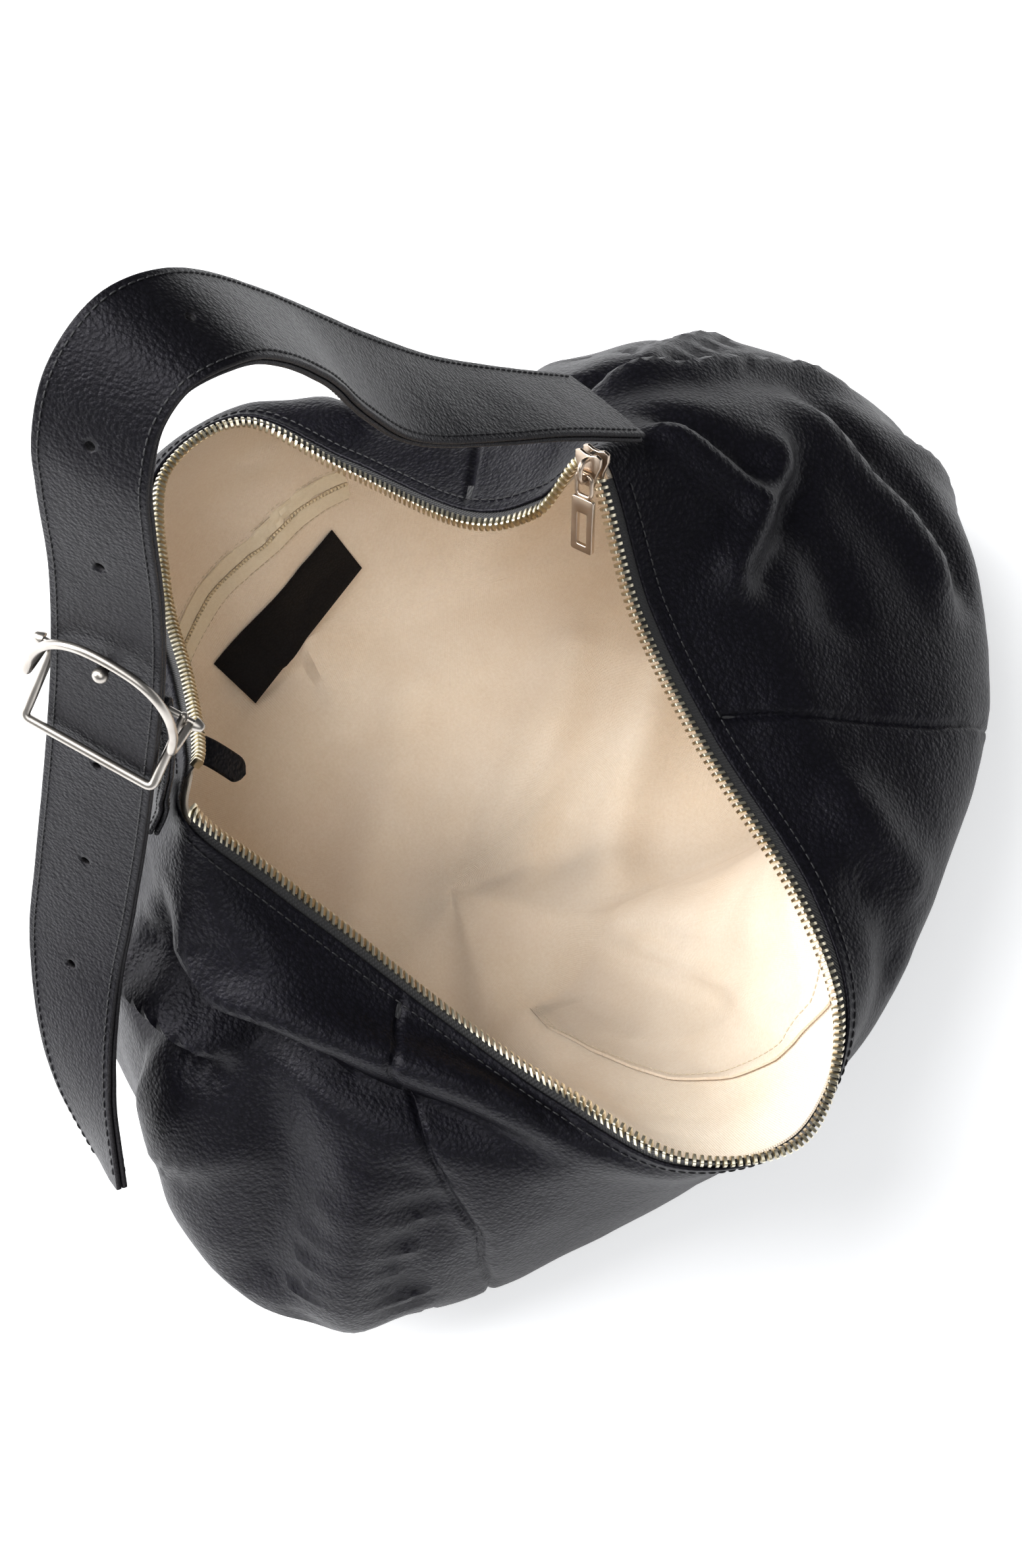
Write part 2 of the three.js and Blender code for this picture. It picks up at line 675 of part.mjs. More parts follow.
const archPath = [];
for (const [side, down, out] of [
  [-1, 0, 1.4], [-0.99, -9, 3.2], [-0.87, -18, 4.4], [-0.62, -25.5, 5], [-0.22, -30, 5.4],
  [0.22, -30, 5.4], [0.62, -25.5, 5], [0.87, -18, 4.4], [0.99, -9, 3.2], [1, 0, 1.4],
]) {
  archPath.push(buckle(down, side * PLATE_HALF, out));
}
let arch = wire(archPath, rodRadius);
for (const side of [-1, 1]) {
  const archEnd = archPath[side < 0 ? 0 : archPath.length - 1];
  const plate = wire([buckle(0, side * PLATE_HALF, -BAR_DEPTH), archEnd], 1.2);
  arch = arch.add(plate).add(eye(side, PLATE_HALF, 2));
}
addMesh('buckle_arch', toGeometry(arch.subtract(barHole)), SATIN_NICKEL);

// Short strap: a band folded round the bar, both ends sewn to the tip of the bag.
const SHORT_HALF = 17.5;
const SHORT_THICK = 1.8;
const SHORT_PATH = [
  { mid: buckle(0, 0, -BAR_DEPTH), across: gripAcross },
  { mid: new THREE.Vector3(-97.5, 17.5, 275), across: vec([0.16, -0.98, 0.06]) },
  { mid: new THREE.Vector3(-95.5, 16.5, 249), across: vec([-0.14, -0.95, 0.24]) },
  { mid: new THREE.Vector3(-92.5, 16, 226), across: vec([-0.45, -0.77, 0.45]) },
  { mid: new THREE.Vector3(-95.5, 16.5, 210), across: vec([-0.57, -0.65, 0.51]) },
];

function shortFrame(place) {
  const i = Math.min(SHORT_PATH.length - 2, Math.floor(place));
  const pick = (k, key) => SHORT_PATH[Math.min(SHORT_PATH.length - 1, Math.max(0, i + k))][key];
  const t = place - i;
  const at = (part) => catmull(pick(-1, 'mid'), pick(0, 'mid'), pick(1, 'mid'), pick(2, 'mid'), part);
  const mid = at(t);
  const ahead = at(Math.min(1, t + 0.01));
  const behind = at(Math.max(0, t - 0.01));
  const across = pick(0, 'across').clone().lerp(pick(1, 'across'), t).normalize();
  const along = ahead.sub(behind).normalize();
  const out = along.clone().cross(across).normalize();
  return { mid, across, out, along };
}
const LOOP_INNER = BAR_RADIUS + 0.5;
const LAYER_APART = 0.5;           // half of the space between the two layers
const shortSteps = steps(0.12, 4, 26);
const outerRun = [];
const innerRun = [];
for (const place of shortSteps) {
  const frame = shortFrame(place);
  const spread = Math.max(LAYER_APART, LOOP_INNER * (1 - place * 1.4));
  outerRun.push({ frame, near: spread, far: spread + SHORT_THICK });
  innerRun.push({ frame, near: -spread, far: -spread - SHORT_THICK });
}
const loopRun = [];
const top = shortFrame(0);
for (const angle of steps(0, Math.PI, 8)) {
  loopRun.push({ top, angle });
}

function shortPoint(entry, side, which) {
  if (entry.frame) {
    const { frame } = entry;
    return frame.mid.clone().addScaledVector(frame.across, side).addScaledVector(frame.out, entry[which]);
  }
  const radius = which === 'near' ? LOOP_INNER : LOOP_INNER + SHORT_THICK;
  return top.mid.clone().addScaledVector(top.across, side)
    .addScaledVector(top.out, radius * Math.cos(entry.angle))
    .addScaledVector(top.along, -radius * Math.sin(entry.angle));
}
const shortRun = [...outerRun.reverse(), ...loopRun, ...innerRun];
const shortLine = (run, side, which) => run.map((entry) => shortPoint(entry, side, which));
const shortGrid = (run, which) => [-SHORT_HALF, SHORT_HALF].map((side) => shortLine(run, side, which));
const shortSolid = (run) => toSolid(slab(shortGrid(run, 'far'), shortGrid(run, 'near'), false));
const shortAbove = shortSolid(shortRun)
  .subtract(swingCylinder(SWING_RADIUS, -130, -80))
  .subtract(swingBelow());
addMesh('short_strap', toGeometry(shortAbove), BLACK_LEATHER);
for (const [name, run] of Object.entries({ outer: outerRun, inner: innerRun })) {
  const sewn = shortSolid(run).intersect(swingCylinder(SWING_RADIUS - 0.4, -130, -80));
  addMesh(`short_strap_sewn_${name}`, toGeometry(sewn), BLACK_LEATHER);
}

function swingBelow() {
  const block = new THREE.BoxGeometry(100, 100, 60);
  block.translate(-105, SWING_AXIS.y, SWING_AXIS.z - 30);
  return toSolid(block);
}

// Stud that the strap holes button over, on a leather tab sewn to the short strap.
const studAt = FIRST_HOLE + PEG_HOLE * HOLE_SPACING;
const tabHalf = 9;
const tabSteps = steps(studAt - 9, BAR_AT + 8, 8);
const tabGrid = (lift) => [-tabHalf, tabHalf].map((side) => tabSteps.map((at) => strapPoint(at, side, lift)));
addMesh('stud_tab', slab(tabGrid(-4.6), tabGrid(-5.8), false), BLACK_LEATHER);
const stem = bar(strapPoint(studAt, 0, -4.3), strapPoint(studAt, 0, 2), 1.3, 12);
const head = new THREE.SphereGeometry(2.4, 14, 8);
const headSpot = strapPoint(studAt, 0, 3);
head.translate(headSpot.x, headSpot.y, headSpot.z);
addMesh('stud', toGeometry(stem.add(toSolid(head))), SATIN_NICKEL);

// ---- main slider and its pull, at the slider end of the mouth ----
const SLIDER_SPOT = new THREE.Vector3(90, -2, 226);
const sliderAlong = vec([-0.36, -0.34, -0.87]).normalize();
const sliderAcross = new THREE.Vector3(0, -1, 0).addScaledVector(sliderAlong, sliderAlong.y).normalize();
const sliderOut = sliderAlong.clone().cross(sliderAcross).normalize();

function onSlider(spot, along, across, out) {
  return spot.clone().addScaledVector(sliderAlong, along)
    .addScaledVector(sliderAcross, across).addScaledVector(sliderOut, out);
}

function sliderPlace(spot) {
  return new THREE.Matrix4().makeBasis(sliderAlong, sliderAcross, sliderOut).setPosition(spot);
}

function sliderBox(along, across, out, centre) {
  const box = new THREE.BoxGeometry(along, across, out);
  box.translate(centre[0], centre[1], centre[2]);
  box.applyMatrix4(sliderPlace(SLIDER_SPOT));
  return toSolid(box);
}
let slider = sliderBox(13, 11, 1.4, [0, 0, 2]).add(sliderBox(13, 11, 1.4, [0, 0, -2]));
slider = slider.add(sliderBox(3, 2.4, 4, [-4, 0, 0]));
const bridge = [[-4, 2], [-4, 5], [-2.5, 6.4], [2.5, 6.4], [4, 5], [4, 2]];
slider = slider.add(wire(bridge.map(([along, out]) => onSlider(SLIDER_SPOT, along, 0, out)), 1.1));
addMesh('zip_slider', toGeometry(slider), PALE_BRASS);

const PULL_PIVOT = onSlider(SLIDER_SPOT, 1.6, 0, 4.1);
const pullCorners = [[0, -3.4], [8, -3.4], [8, 3.4], [0, 3.4]];
const linkWire = pullCorners.map(([along, across]) => onSlider(PULL_PIVOT, along, across, 0));
addMesh('zip_pull_link', toGeometry(wire(linkWire, 0.8, true)), PALE_BRASS);
function pullBox(along, across, thick, centre) {
  const box = new THREE.BoxGeometry(along, across, thick);
  box.translate(centre, 0, 0);
  box.applyMatrix4(sliderPlace(PULL_PIVOT));
  return toSolid(box);
}
const pullTab = pullBox(21, 9.2, 1.6, 19.8).subtract(pullBox(12, 4, 4, 22));
addMesh('zip_pull_tab', toGeometry(pullTab), PALE_BRASS);

// ---- leather tab that closes the far end of the zip ----
const tabRoot = new THREE.Vector3(-68.5, 24, 201.5);
const tabTip = new THREE.Vector3(-61, 13, 187);
const tabWay = tabTip.clone().sub(tabRoot);
const endTab = new THREE.BoxGeometry(tabWay.length(), 9, 2);
endTab.translate(tabWay.length() / 2, 0, 0);
const tabX = tabWay.clone().normalize();
const tabY = new THREE.Vector3(1, 0.55, 0.2);
tabY.addScaledVector(tabX, -tabX.dot(tabY)).normalize();
endTab.applyMatrix4(new THREE.Matrix4().makeBasis(tabX, tabY, tabX.clone().cross(tabY)).setPosition(tabRoot));
addMesh('zip_end_tab', endTab, BLACK_LEATHER);

// The origin is the middle of the bottom of the whole bag's box.
const whole = new THREE.Box3().setFromObject(bag);
const middle = whole.getCenter(new THREE.Vector3());
bag.position.set(-middle.x, -middle.y, -whole.min.z);

export default bag;
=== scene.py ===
# Hobo bag: the fine leather, lining, zip, strap and buckle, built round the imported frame.
# Shapes are designed in millimetres from the point on the floor between the two tips of the mouth.
import json
import math

import bmesh
import bpy
import numpy as np
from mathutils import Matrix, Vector, noise


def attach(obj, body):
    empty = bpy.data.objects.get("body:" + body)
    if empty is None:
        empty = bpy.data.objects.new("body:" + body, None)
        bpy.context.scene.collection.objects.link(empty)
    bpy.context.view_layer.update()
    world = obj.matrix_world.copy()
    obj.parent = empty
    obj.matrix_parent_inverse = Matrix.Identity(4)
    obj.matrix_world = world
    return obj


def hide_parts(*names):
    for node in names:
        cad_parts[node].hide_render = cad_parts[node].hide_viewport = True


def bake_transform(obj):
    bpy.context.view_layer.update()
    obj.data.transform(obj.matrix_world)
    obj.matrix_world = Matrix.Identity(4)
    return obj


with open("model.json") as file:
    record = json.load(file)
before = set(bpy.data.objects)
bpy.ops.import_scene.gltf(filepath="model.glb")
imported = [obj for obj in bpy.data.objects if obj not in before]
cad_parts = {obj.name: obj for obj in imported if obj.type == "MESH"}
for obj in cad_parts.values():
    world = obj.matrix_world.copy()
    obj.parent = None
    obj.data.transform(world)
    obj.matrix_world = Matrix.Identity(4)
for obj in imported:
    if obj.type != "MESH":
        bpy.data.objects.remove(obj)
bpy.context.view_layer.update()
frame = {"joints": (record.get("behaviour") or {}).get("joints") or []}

# ---- places taken from the frame ----
MILLI = 0.001
JOINTS = {joint["name"]: joint for joint in frame["joints"]}
SWING_Y = 6.0
SWING_Z = 228.0
SWING_AT = np.array(JOINTS["strap_swing"]["pos_m"])
ORIGIN = SWING_AT - np.array([0.0, SWING_Y, SWING_Z]) * MILLI
PULL_AT = (np.array(JOINTS["zip_pull_swing"]["pos_m"]) - ORIGIN) / MILLI

# ---- driving dimensions, millimetres ----
LEATHER = 1.4
LINING_DEPTH = 3.2
LINING = 0.8
FOOT_Z = 0.9
HEEL_Z = 12.0
TAPE_DEPTH = 1.8
TAPE = 0.8
TAPE_ABOVE = 4.5
TOOTH_PITCH = 2.5
STRAP_WIDTH = 38.0
STRAP_LAYER = 1.9
LAYER_GAP = 0.12
HOLE_RADIUS = 1.7
FIRST_HOLE = 265.0
HOLE_SPACING = 52.0
HOLE_COUNT = 7
STUD_AT = FIRST_HOLE + 3 * HOLE_SPACING
BAR_AT = 440.0
BAR_DEPTH = 10.2
SEAMS = {"front": (3, 9), "right": (9, 13), "back": (13, 18), "left": (18, 23)}
SLIDER_TIP = 11

# Stations round the body, from the buckle tip along the front to the slider tip and back.
RIM = [
    (-97, 0, 225), (-88, -28, 202), (-78, -58, 180), (-70, -90, 164), (-60, -134, 150),
    (-45, -177, 140), (-8, -199, 137), (34, -182, 140), (58, -142, 147), (70, -84, 164),
    (80, -42, 190), (97, 0, 225), (80, 14, 198), (66, 36, 180), (60, 88, 157),
    (48, 132, 149), (8, 136, 150), (-28, 98, 163), (-54, 56, 184), (-76, 24, 206),
]
SHOULDER = [
    (-111, -4, 190), (-114, -46, 176), (-108, -84, 158), (-90, -116, 148), (-68, -148, 136),
    (-44, -177, 122), (-3, -189, 118), (50, -178, 120), (88, -150, 130), (112, -104, 150),
    (138, -58, 168), (160, -8, 184), (140, 43, 175), (108, 66, 155), (80, 108, 140),
    (54, 142, 132), (4, 146, 130), (-42, 112, 142), (-74, 72, 158), (-96, 32, 178),
]
BELLY = [
    (-142, -10, 95), (-162, -50, 80), (-157, -96, 64), (-117, -133, 62), (-66, -154, 74),
    (-26, -172, 80), (16, -180, 84), (66, -174, 88), (122, -154, 92), (173, -126, 92),
    (222, -72, 92), (243, -14, 84), (222, 52, 84), (164, 88, 84), (104, 118, 82),
    (50, 144, 78), (-14, 140, 78), (-64, 112, 76), (-102, 72, 76), (-126, 30, 84),
]
HEEL = [
    (-132, -12), (-142, -46), (-134, -84), (-100, -118), (-58, -140),
    (-18, -150), (20, -150), (62, -146), (108, -128), (150, -104),
    (190, -62), (206, -12), (188, 44), (142, 74), (90, 98),
    (42, 118), (-14, 116), (-58, 96), (-94, 64), (-118, 28),
]
FOOT = [
    (-104, -12), (-108, -36), (-100, -60), (-74, -86), (-44, -104),
    (-10, -114), (18, -116), (50, -112), (84, -96), (114, -76),
    (140, -46), (150, -8), (138, 32), (104, 54), (68, 72),
    (32, 88), (-10, 88), (-44, 74), (-74, 48), (-92, 22),
]
COUNT = len(RIM)


def at_height(points, z):
    return [(x, y, z) for x, y in points]


RINGS = np.array([RIM, SHOULDER, BELLY, at_height(HEEL, HEEL_Z), at_height(FOOT, FOOT_Z)], float)

# Folds in the leather: height, width, depth of the hollow beside it, then (s, v) along the fold.
LEATHER_FOLDS = [
    (8.5, 8, 10.0, [(20.1, 0.7), (20.35, 1.08), (20.7, 1.08), (21.3, 0.9), (21.9, 0.74),
                    (22.4, 0.68), (23.0, 0.62), (23.7, 0.5), (24.4, 0.28)]),
    (9.0, 7, 6.0, [(19.3, 1.45), (19.65, 1.5), (19.9, 1.52), (20.35, 1.4), (20.8, 1.3), (21.1, 1.22)]),
    (-8.0, 14, 0.0, [(20.7, 1.15), (21.2, 1.2), (21.7, 1.45), (21.8, 1.9), (21.65, 2.3)]),
    (-5.0, 6, 0.0, [(19.6, 1.35), (20.0, 1.3), (20.4, 1.22), (20.8, 1.12)]),
    (6.0, 24, 0.0, [(20.2, 1.8), (20.6, 1.7), (21.1, 1.8)]),
    (4.5, 12, 2.0, [(22.3, 1.1), (22.4, 1.6), (22.5, 2.2), (22.4, 2.8)]),
    (-3.0, 9, 0.0, [(22.8, 1.2), (23.2, 1.7), (23.3, 2.4)]),
    (7.0, 7, 6.0, [(11.9, 0.6), (11.75, 0.9), (11.5, 1.1), (11.4, 1.35), (11.3, 1.55), (11.1, 1.8)]),
    (6.0, 7, 4.5, [(11.1, 0.3), (10.9, 0.5), (10.7, 0.62), (10.45, 0.8), (10.3, 0.92)]),
    (6.5, 11, 6.0, [(11.3, 1.3), (10.85, 1.3), (10.4, 1.4), (10.1, 1.52), (9.8, 1.6), (9.4, 1.62)]),
    (5.5, 8, 4.0, [(10.9, 1.1), (10.6, 1.05), (10.35, 0.88), (10.1, 0.6), (9.8, 0.5)]),
    (-4.0, 12, 0.0, [(10.6, 0.9), (10.2, 1.1), (9.8, 1.15), (9.4, 1.1)]),
    (3.0, 6, 2.0, [(11.6, 0.9), (11.9, 1.3), (12.0, 1.9), (11.9, 2.4)]),
    (3.5, 8, 2.5, [(10.7, 1.6), (10.5, 2.0), (10.1, 2.4), (9.8, 2.6)]),
    (4.0, 12, 0.0, [(8.7, 0.6), (8.4, 0.85), (8.0, 1.2), (7.7, 1.6)]),
    (-3.5, 12, 0.0, [(8.2, 0.45), (7.8, 0.8), (7.4, 1.2), (7.1, 1.7)]),
    (4.0, 11, 2.0, [(12.4, 0.5), (12.6, 0.9), (12.7, 1.3), (12.9, 1.8)]),
    (4.5, 12, 3.0, [(13.8, 0.5), (14.2, 1.0), (14.4, 1.6), (14.3, 2.2)]),
    (4.0, 13, 3.0, [(16.3, 0.4), (16.5, 0.9), (16.9, 1.5), (17.0, 2.2)]),
    (4.5, 11, 3.0, [(19.2, 0.6), (19.0, 1.0), (18.7, 1.4), (18.5, 2.0)]),
]

# Soft folds in the lining walls, the same way.
LINING_FOLDS = [
    (9.0, 24, 0.0, [(14.9, 1.9), (14.95, 2.5), (15.0, 3.0), (15.05, 3.6)]),
    (3.5, 12, 0.0, [(12.2, 0.5), (12.6, 1.4), (13.2, 2.4), (13.4, 3.4)]),
    (-3.0, 14, 0.0, [(16.5, 0.8), (16.6, 1.6), (16.9, 2.6), (17.0, 3.6)]),
    (3.0, 10, 0.0, [(18.6, 0.6), (18.8, 1.5), (18.9, 2.6)]),
    (2.5, 9, 1.5, [(6.8, 0.6), (6.9, 1.4), (7.2, 2.2), (7.5, 3.4)]),
    (2.5, 10, 0.0, [(4.6, 0.6), (4.5, 1.6), (4.3, 2.8)]),
]


# ---- smooth surface of the body ----
def catmull(a, b, c, d, t):
    return 0.5 * (
        2 * b + (c - a) * t + (2 * a - 5 * b + 4 * c - d) * t * t
        + (3 * b - a - 3 * c + d) * t * t * t
    )


def wall_point(s, v):
    """Outer face of the body. s goes round through the stations, v from the rim, 0, to the foot, 4."""
    s = np.asarray(s, float)
    v = np.clip(np.asarray(v, float), 0, 4)
    shape = np.broadcast(s, v).shape
    s = np.broadcast_to(s, shape).ravel()
    v = np.broadcast_to(v, shape).ravel()
    station = np.floor(s).astype(int)
    part = (s - station)[:, None]
    picked = [RINGS[:, (station + k) % COUNT] for k in (-1, 0, 1, 2)]
    rows = catmull(*picked, part)
    above = 2 * rows[0] - rows[1]
    inside = 2 * rows[4] - rows[3]
    inside[:, 2] = FOOT_Z
    rows = np.concatenate([above[None], rows, inside[None]])
    band = np.clip(np.floor(v), 0, 3).astype(int)
    each = np.arange(len(s))
    picked = [rows[band + k, each] for k in range(4)]
    return catmull(*picked, (v - band)[:, None]).reshape(shape + (3,))


def unit(vectors):
    return vectors / np.linalg.norm(vectors, axis=-1, keepdims=True)


def wall_normal(s, v):
    step = 0.01
    v = np.asarray(v, float)
    around = wall_point(np.asarray(s) + step, v) - wall_point(np.asarray(s) - step, v)
    down = wall_point(s, np.minimum(v + step, 4)) - wall_point(s, np.maximum(v - step, 0))
    return -unit(np.cross(around, down))


def smooth(x):
    x = np.clip(x, 0, 1)
    return x * x * (3 - 2 * x)


# A fold's hollow lies this far beside its ridge and is this wide, both as a share of the ridge's width.
HOLLOW_OFFSET = 1.7
HOLLOW_WIDTH = 0.9
FOLD_TAPER = 4
FAR_AWAY = 1e9


def fold_height(points, v, folds):
    """Sum of the folds at each point: a rounded ridge, with a hollow on its lower side."""
    total = np.zeros(points.shape[:-1])
    for height, width, hollow, line in folds:
        line = np.array(line, float)
        place = np.linspace(0, len(line) - 1, 8 * len(line))
        line_s = np.interp(place, range(len(line)), line[:, 0])
        line_v = np.interp(place, range(len(line)), line[:, 1])
        spine = wall_point(line_s, line_v)
        nearest = np.full(total.shape, FAR_AWAY)
        where = np.zeros(total.shape, int)
        for k, spot in enumerate(spine):
            distance = np.linalg.norm(points - spot, axis=-1)
            closer = distance < nearest
            nearest = np.where(closer, distance, nearest)
            where = np.where(closer, k, where)
        along = where / (len(spine) - 1)
        taper = smooth(along * FOLD_TAPER) * smooth((1 - along) * FOLD_TAPER)
        side = np.sign(v - line_v[where])
        total += taper * height * np.exp(-((nearest / width) ** 2))
        beside = (nearest * side - HOLLOW_OFFSET * width) / (HOLLOW_WIDTH * width)
        total -= taper * hollow * np.exp(-(beside**2))
    return total


def rough(points, size, seed):
    """Even random swell from -1 to 1, the same on each run."""
    shift = Vector((seed * 3.7, seed * 1.3, seed * 7.1))
    flat = (points.reshape(-1, 3) / size).tolist()
    values = [noise.noise(Vector(p) + shift) for p in flat]
    return np.array(values).reshape(points.shape[:-1])


# The two front seams wander to one side and the other on their way down: v, then stations to one side.
SEAM_BENDS = {
    3: ([0, 0.75, 1.2, 1.6, 2.2, 4], [-0.4, -0.62, -0.15, 0.28, 0.4, 0.1]),
    9: ([0, 1, 1.5, 2.2, 4], [0.16, 0, -0.1, -0.05, 0]),
}
BEND_REACH = 1.6


def bent(s, v):
    moved = np.array(s, float)
    for seam, (rows, sides) in SEAM_BENDS.items():
        away = np.abs(np.mod(s - seam + COUNT / 2, COUNT) - COUNT / 2)
        moved = moved + np.interp(v, rows, sides) * smooth(1 - away / BEND_REACH)
    return moved


def leather_relief(v, points):
    keep_rim = smooth(v / 0.35)
    keep_foot = smooth((4 - v) / 0.6)
    swell = 2.2 * rough(points, 52, 1) + 0.6 * rough(points, 22, 2) + 0.12 * rough(points, 8, 3)
    return keep_rim * keep_foot * (fold_height(points, v, LEATHER_FOLDS) + swell)


# ---- mesh helpers ----
CREASE_ANGLE = math.radians(48)


def metres(points):
    """Design millimetres as metres in the shared frame."""
    return np.asarray(points, float) * MILLI + ORIGIN


def run_lengths(points):
    """Distance along a run of points, from 0 at the first."""
    return np.concatenate([[0], np.cumsum(np.linalg.norm(np.diff(points, axis=0), axis=1))])


def along_run(places, at, values):
    """The values, one row for each distance in at, read off at the given places."""
    return np.stack([np.interp(places, at, values[:, k]) for k in range(3)], -1)


def add_to_scene(made):
    bpy.context.scene.collection.objects.link(made)


def ring_faces(layers, size, start=0, closed=False):
    """Faces of a solid made of equal rings of points, one after another from vertex start."""
    index = [[start + i * size + j for j in range(size)] for i in range(layers)]
    faces = []
    for i in range(layers if closed else layers - 1):
        here = index[i]
        there = index[(i + 1) % layers]
        for j in range(size):
            k = (j + 1) % size
            faces.append([here[j], there[j], there[k], here[k]])
    if not closed:
        faces.append(index[0])
        faces.append(index[-1][::-1])
    return faces


def to_object(name, points, faces, material, uvs=None):
    mesh = bpy.data.meshes.new(name)
    placed = metres(points).reshape(-1, 3)
    mesh.from_pydata(placed.tolist(), [], [list(face) for face in faces])
    mesh.validate()
    if uvs is not None:
        layer = mesh.uv_layers.new(name="cloth")
        order = np.zeros(len(mesh.loops), int)
        mesh.loops.foreach_get("vertex_index", order)
        layer.data.foreach_set("uv", np.asarray(uvs, float)[order].ravel())
    mesh.polygons.foreach_set("use_smooth", [True] * len(mesh.polygons))
    mesh.set_sharp_from_angle(angle=CREASE_ANGLE)
    piece = bpy.data.objects.new(name, mesh)
    add_to_scene(piece)
    mesh.materials.append(material)
    return piece


def outward(piece):
    """Turns the faces of a closed piece outwards."""
    work = bmesh.new()
    work.from_mesh(piece.data)
    bmesh.ops.recalc_face_normals(work, faces=work.faces)
    work.to_mesh(piece.data)
    work.free()
    return piece


def arc_lengths(grid):
    """Distance across and down a grid of points, for the cloth's weave."""
    middle_row = grid[len(grid) // 2]
    middle_column = grid[:, grid.shape[1] // 2]
    return np.stack(np.meshgrid(run_lengths(middle_row), run_lengths(middle_column)), -1)


def sheet_piece(name, outer, inner, material, crown=None):
    """Closed skin from an outer and an inner grid, with an optional rounded crown over its top edge."""
    parts = [outer, inner[::-1]]
    if crown is not None:
        parts.append(crown)
    loop = np.concatenate(parts)
    rows, columns = loop.shape[:2]
    index = np.arange(rows * columns).reshape(rows, columns)
    nextrow = np.roll(index, -1, axis=0)
    faces = np.stack([index[:, :-1], nextrow[:, :-1], nextrow[:, 1:], index[:, 1:]], -1)
    faces = faces.reshape(-1, 4).tolist()
    count = len(outer)
    for column, turned in ((0, False), (columns - 1, True)):
        for i in range(count - 1):
            quad = [index[i, column], index[2 * count - 1 - i, column]]
            quad += [index[2 * count - 2 - i, column], index[i + 1, column]]
            faces.append(quad[::-1] if turned else quad)
        if crown is not None:
            cap = [index[2 * count - 1, column], *index[2 * count:, column], index[0, column]]
            faces.append(cap if not turned else cap[::-1])
    flat = arc_lengths(outer)
    uvs = [flat, flat[::-1]]
    if crown is not None:
        uvs.append(np.repeat(flat[:1], len(crown), axis=0))
    uvs = np.concatenate(uvs).reshape(-1, 2) * MILLI
    return outward(to_object(name, loop, faces, material, uvs))


def swept(name, rings, material, closed=False):
    """Solid through a run of equal outlines."""
    rings = np.asarray(rings, float)
    count, size = rings.shape[:2]
    return outward(to_object(name, rings, ring_faces(count, size, closed=closed), material))


SPLINE_STEPS = 24


def resample(points, spacing):
    """Smooth curve through the points, at about even spacing."""
    points = np.asarray(points, float)
    last = len(points) - 1
    found = []
    for i in range(last):
        picked = [points[min(max(i + k, 0), last)] for k in (-1, 0, 1, 2)]
        for t in np.linspace(0, 1, SPLINE_STEPS, endpoint=False):
            found.append(catmull(*picked, t))
    found.append(points[-1])
    found = np.array(found)
    length = run_lengths(found)
    number = max(2, int(round(length[-1] / spacing)))
    return along_run(np.linspace(0, length[-1], number + 1), length, found)


def tube(name, points, radius, material, closed=False, sides=14):
    """Round wire along points, with rounded ends."""
    points = np.asarray(points, float)
    ways = np.roll(points, -1, axis=0) - np.roll(points, 1, axis=0)
    if not closed:
        ways[0] = points[1] - points[0]
        ways[-1] = points[-1] - points[-2]
    ways = unit(ways)
    side = np.cross(ways[0], [0.31, 0.52, 0.79])
    rings = []
    angles = np.linspace(0, 2 * math.pi, sides, endpoint=False)
    radii = np.full(len(points), float(radius)) if np.isscalar(radius) else np.asarray(radius)
    for point, way, size in zip(points, ways, radii):
        side = side - way * (side @ way)
        side = side / np.linalg.norm(side)
        up = np.cross(way, side)
        ring = [point + size * (math.cos(a) * side + math.sin(a) * up) for a in angles]
        rings.append(ring)
    if not closed:
        rings = round_end(rings, points[0], -ways[0])[::-1] + rings
        rings += round_end(rings[::-1], points[-1], ways[-1])
    return swept(name, rings, material, closed)


ROUND_ANGLES = (0.6, 1.1, 1.4)
ROUND_REACH = 0.8


def round_end(rings, centre, way):
    """Shrinking rings that round off the end of a wire."""
    first = np.array(rings[0])
    reach = np.linalg.norm(first[0] - centre)
    found = []
    for angle in ROUND_ANGLES:
        shrunk = (first - centre) * math.cos(angle)
        found.append((centre + shrunk + way * reach * math.sin(angle) * ROUND_REACH).tolist())
    return found


# Outline of one stitch: share of its length, share of the thread's thickness, and rise out of the seam.
STITCH_ROWS = [
    (-0.5, 0.25, -0.5), (-0.42, 0.8, -0.1), (-0.2, 1, 0.4),
    (0.2, 1, 0.4), (0.42, 0.8, -0.1), (0.5, 0.25, -0.5),
]
STITCH_SIDES = 6


def stitches(name, points, normals, thread, material, pitch=3.4, length=2.7, lift=0.15):
    """Row of separate stitches along a line, each dipping into the leather at its two ends."""
    points = np.asarray(points, float)
    at = run_lengths(points)
    angles = np.linspace(0, 2 * math.pi, STITCH_SIDES, endpoint=False)
    verts = []
    faces = []
    for k in range(int(at[-1] / pitch)):
        middle = (k + 0.5) * pitch
        if middle + length / 2 > at[-1]:
            continue
        centre = along_run(middle, at, points)
        up = unit(along_run(middle, at, normals))
        way = unit(along_run(middle + 0.5, at, points) - centre)
        side = np.cross(way, up)
        faces += ring_faces(len(STITCH_ROWS), STITCH_SIDES, len(verts))
        for along, size, rise in STITCH_ROWS:
            spot = centre + way * along * length + up * (lift + rise * thread)
            for angle in angles:
                verts.append(spot + thread * size * (math.cos(angle) * side + math.sin(angle) * up))
    return to_object(name, verts, faces, material)


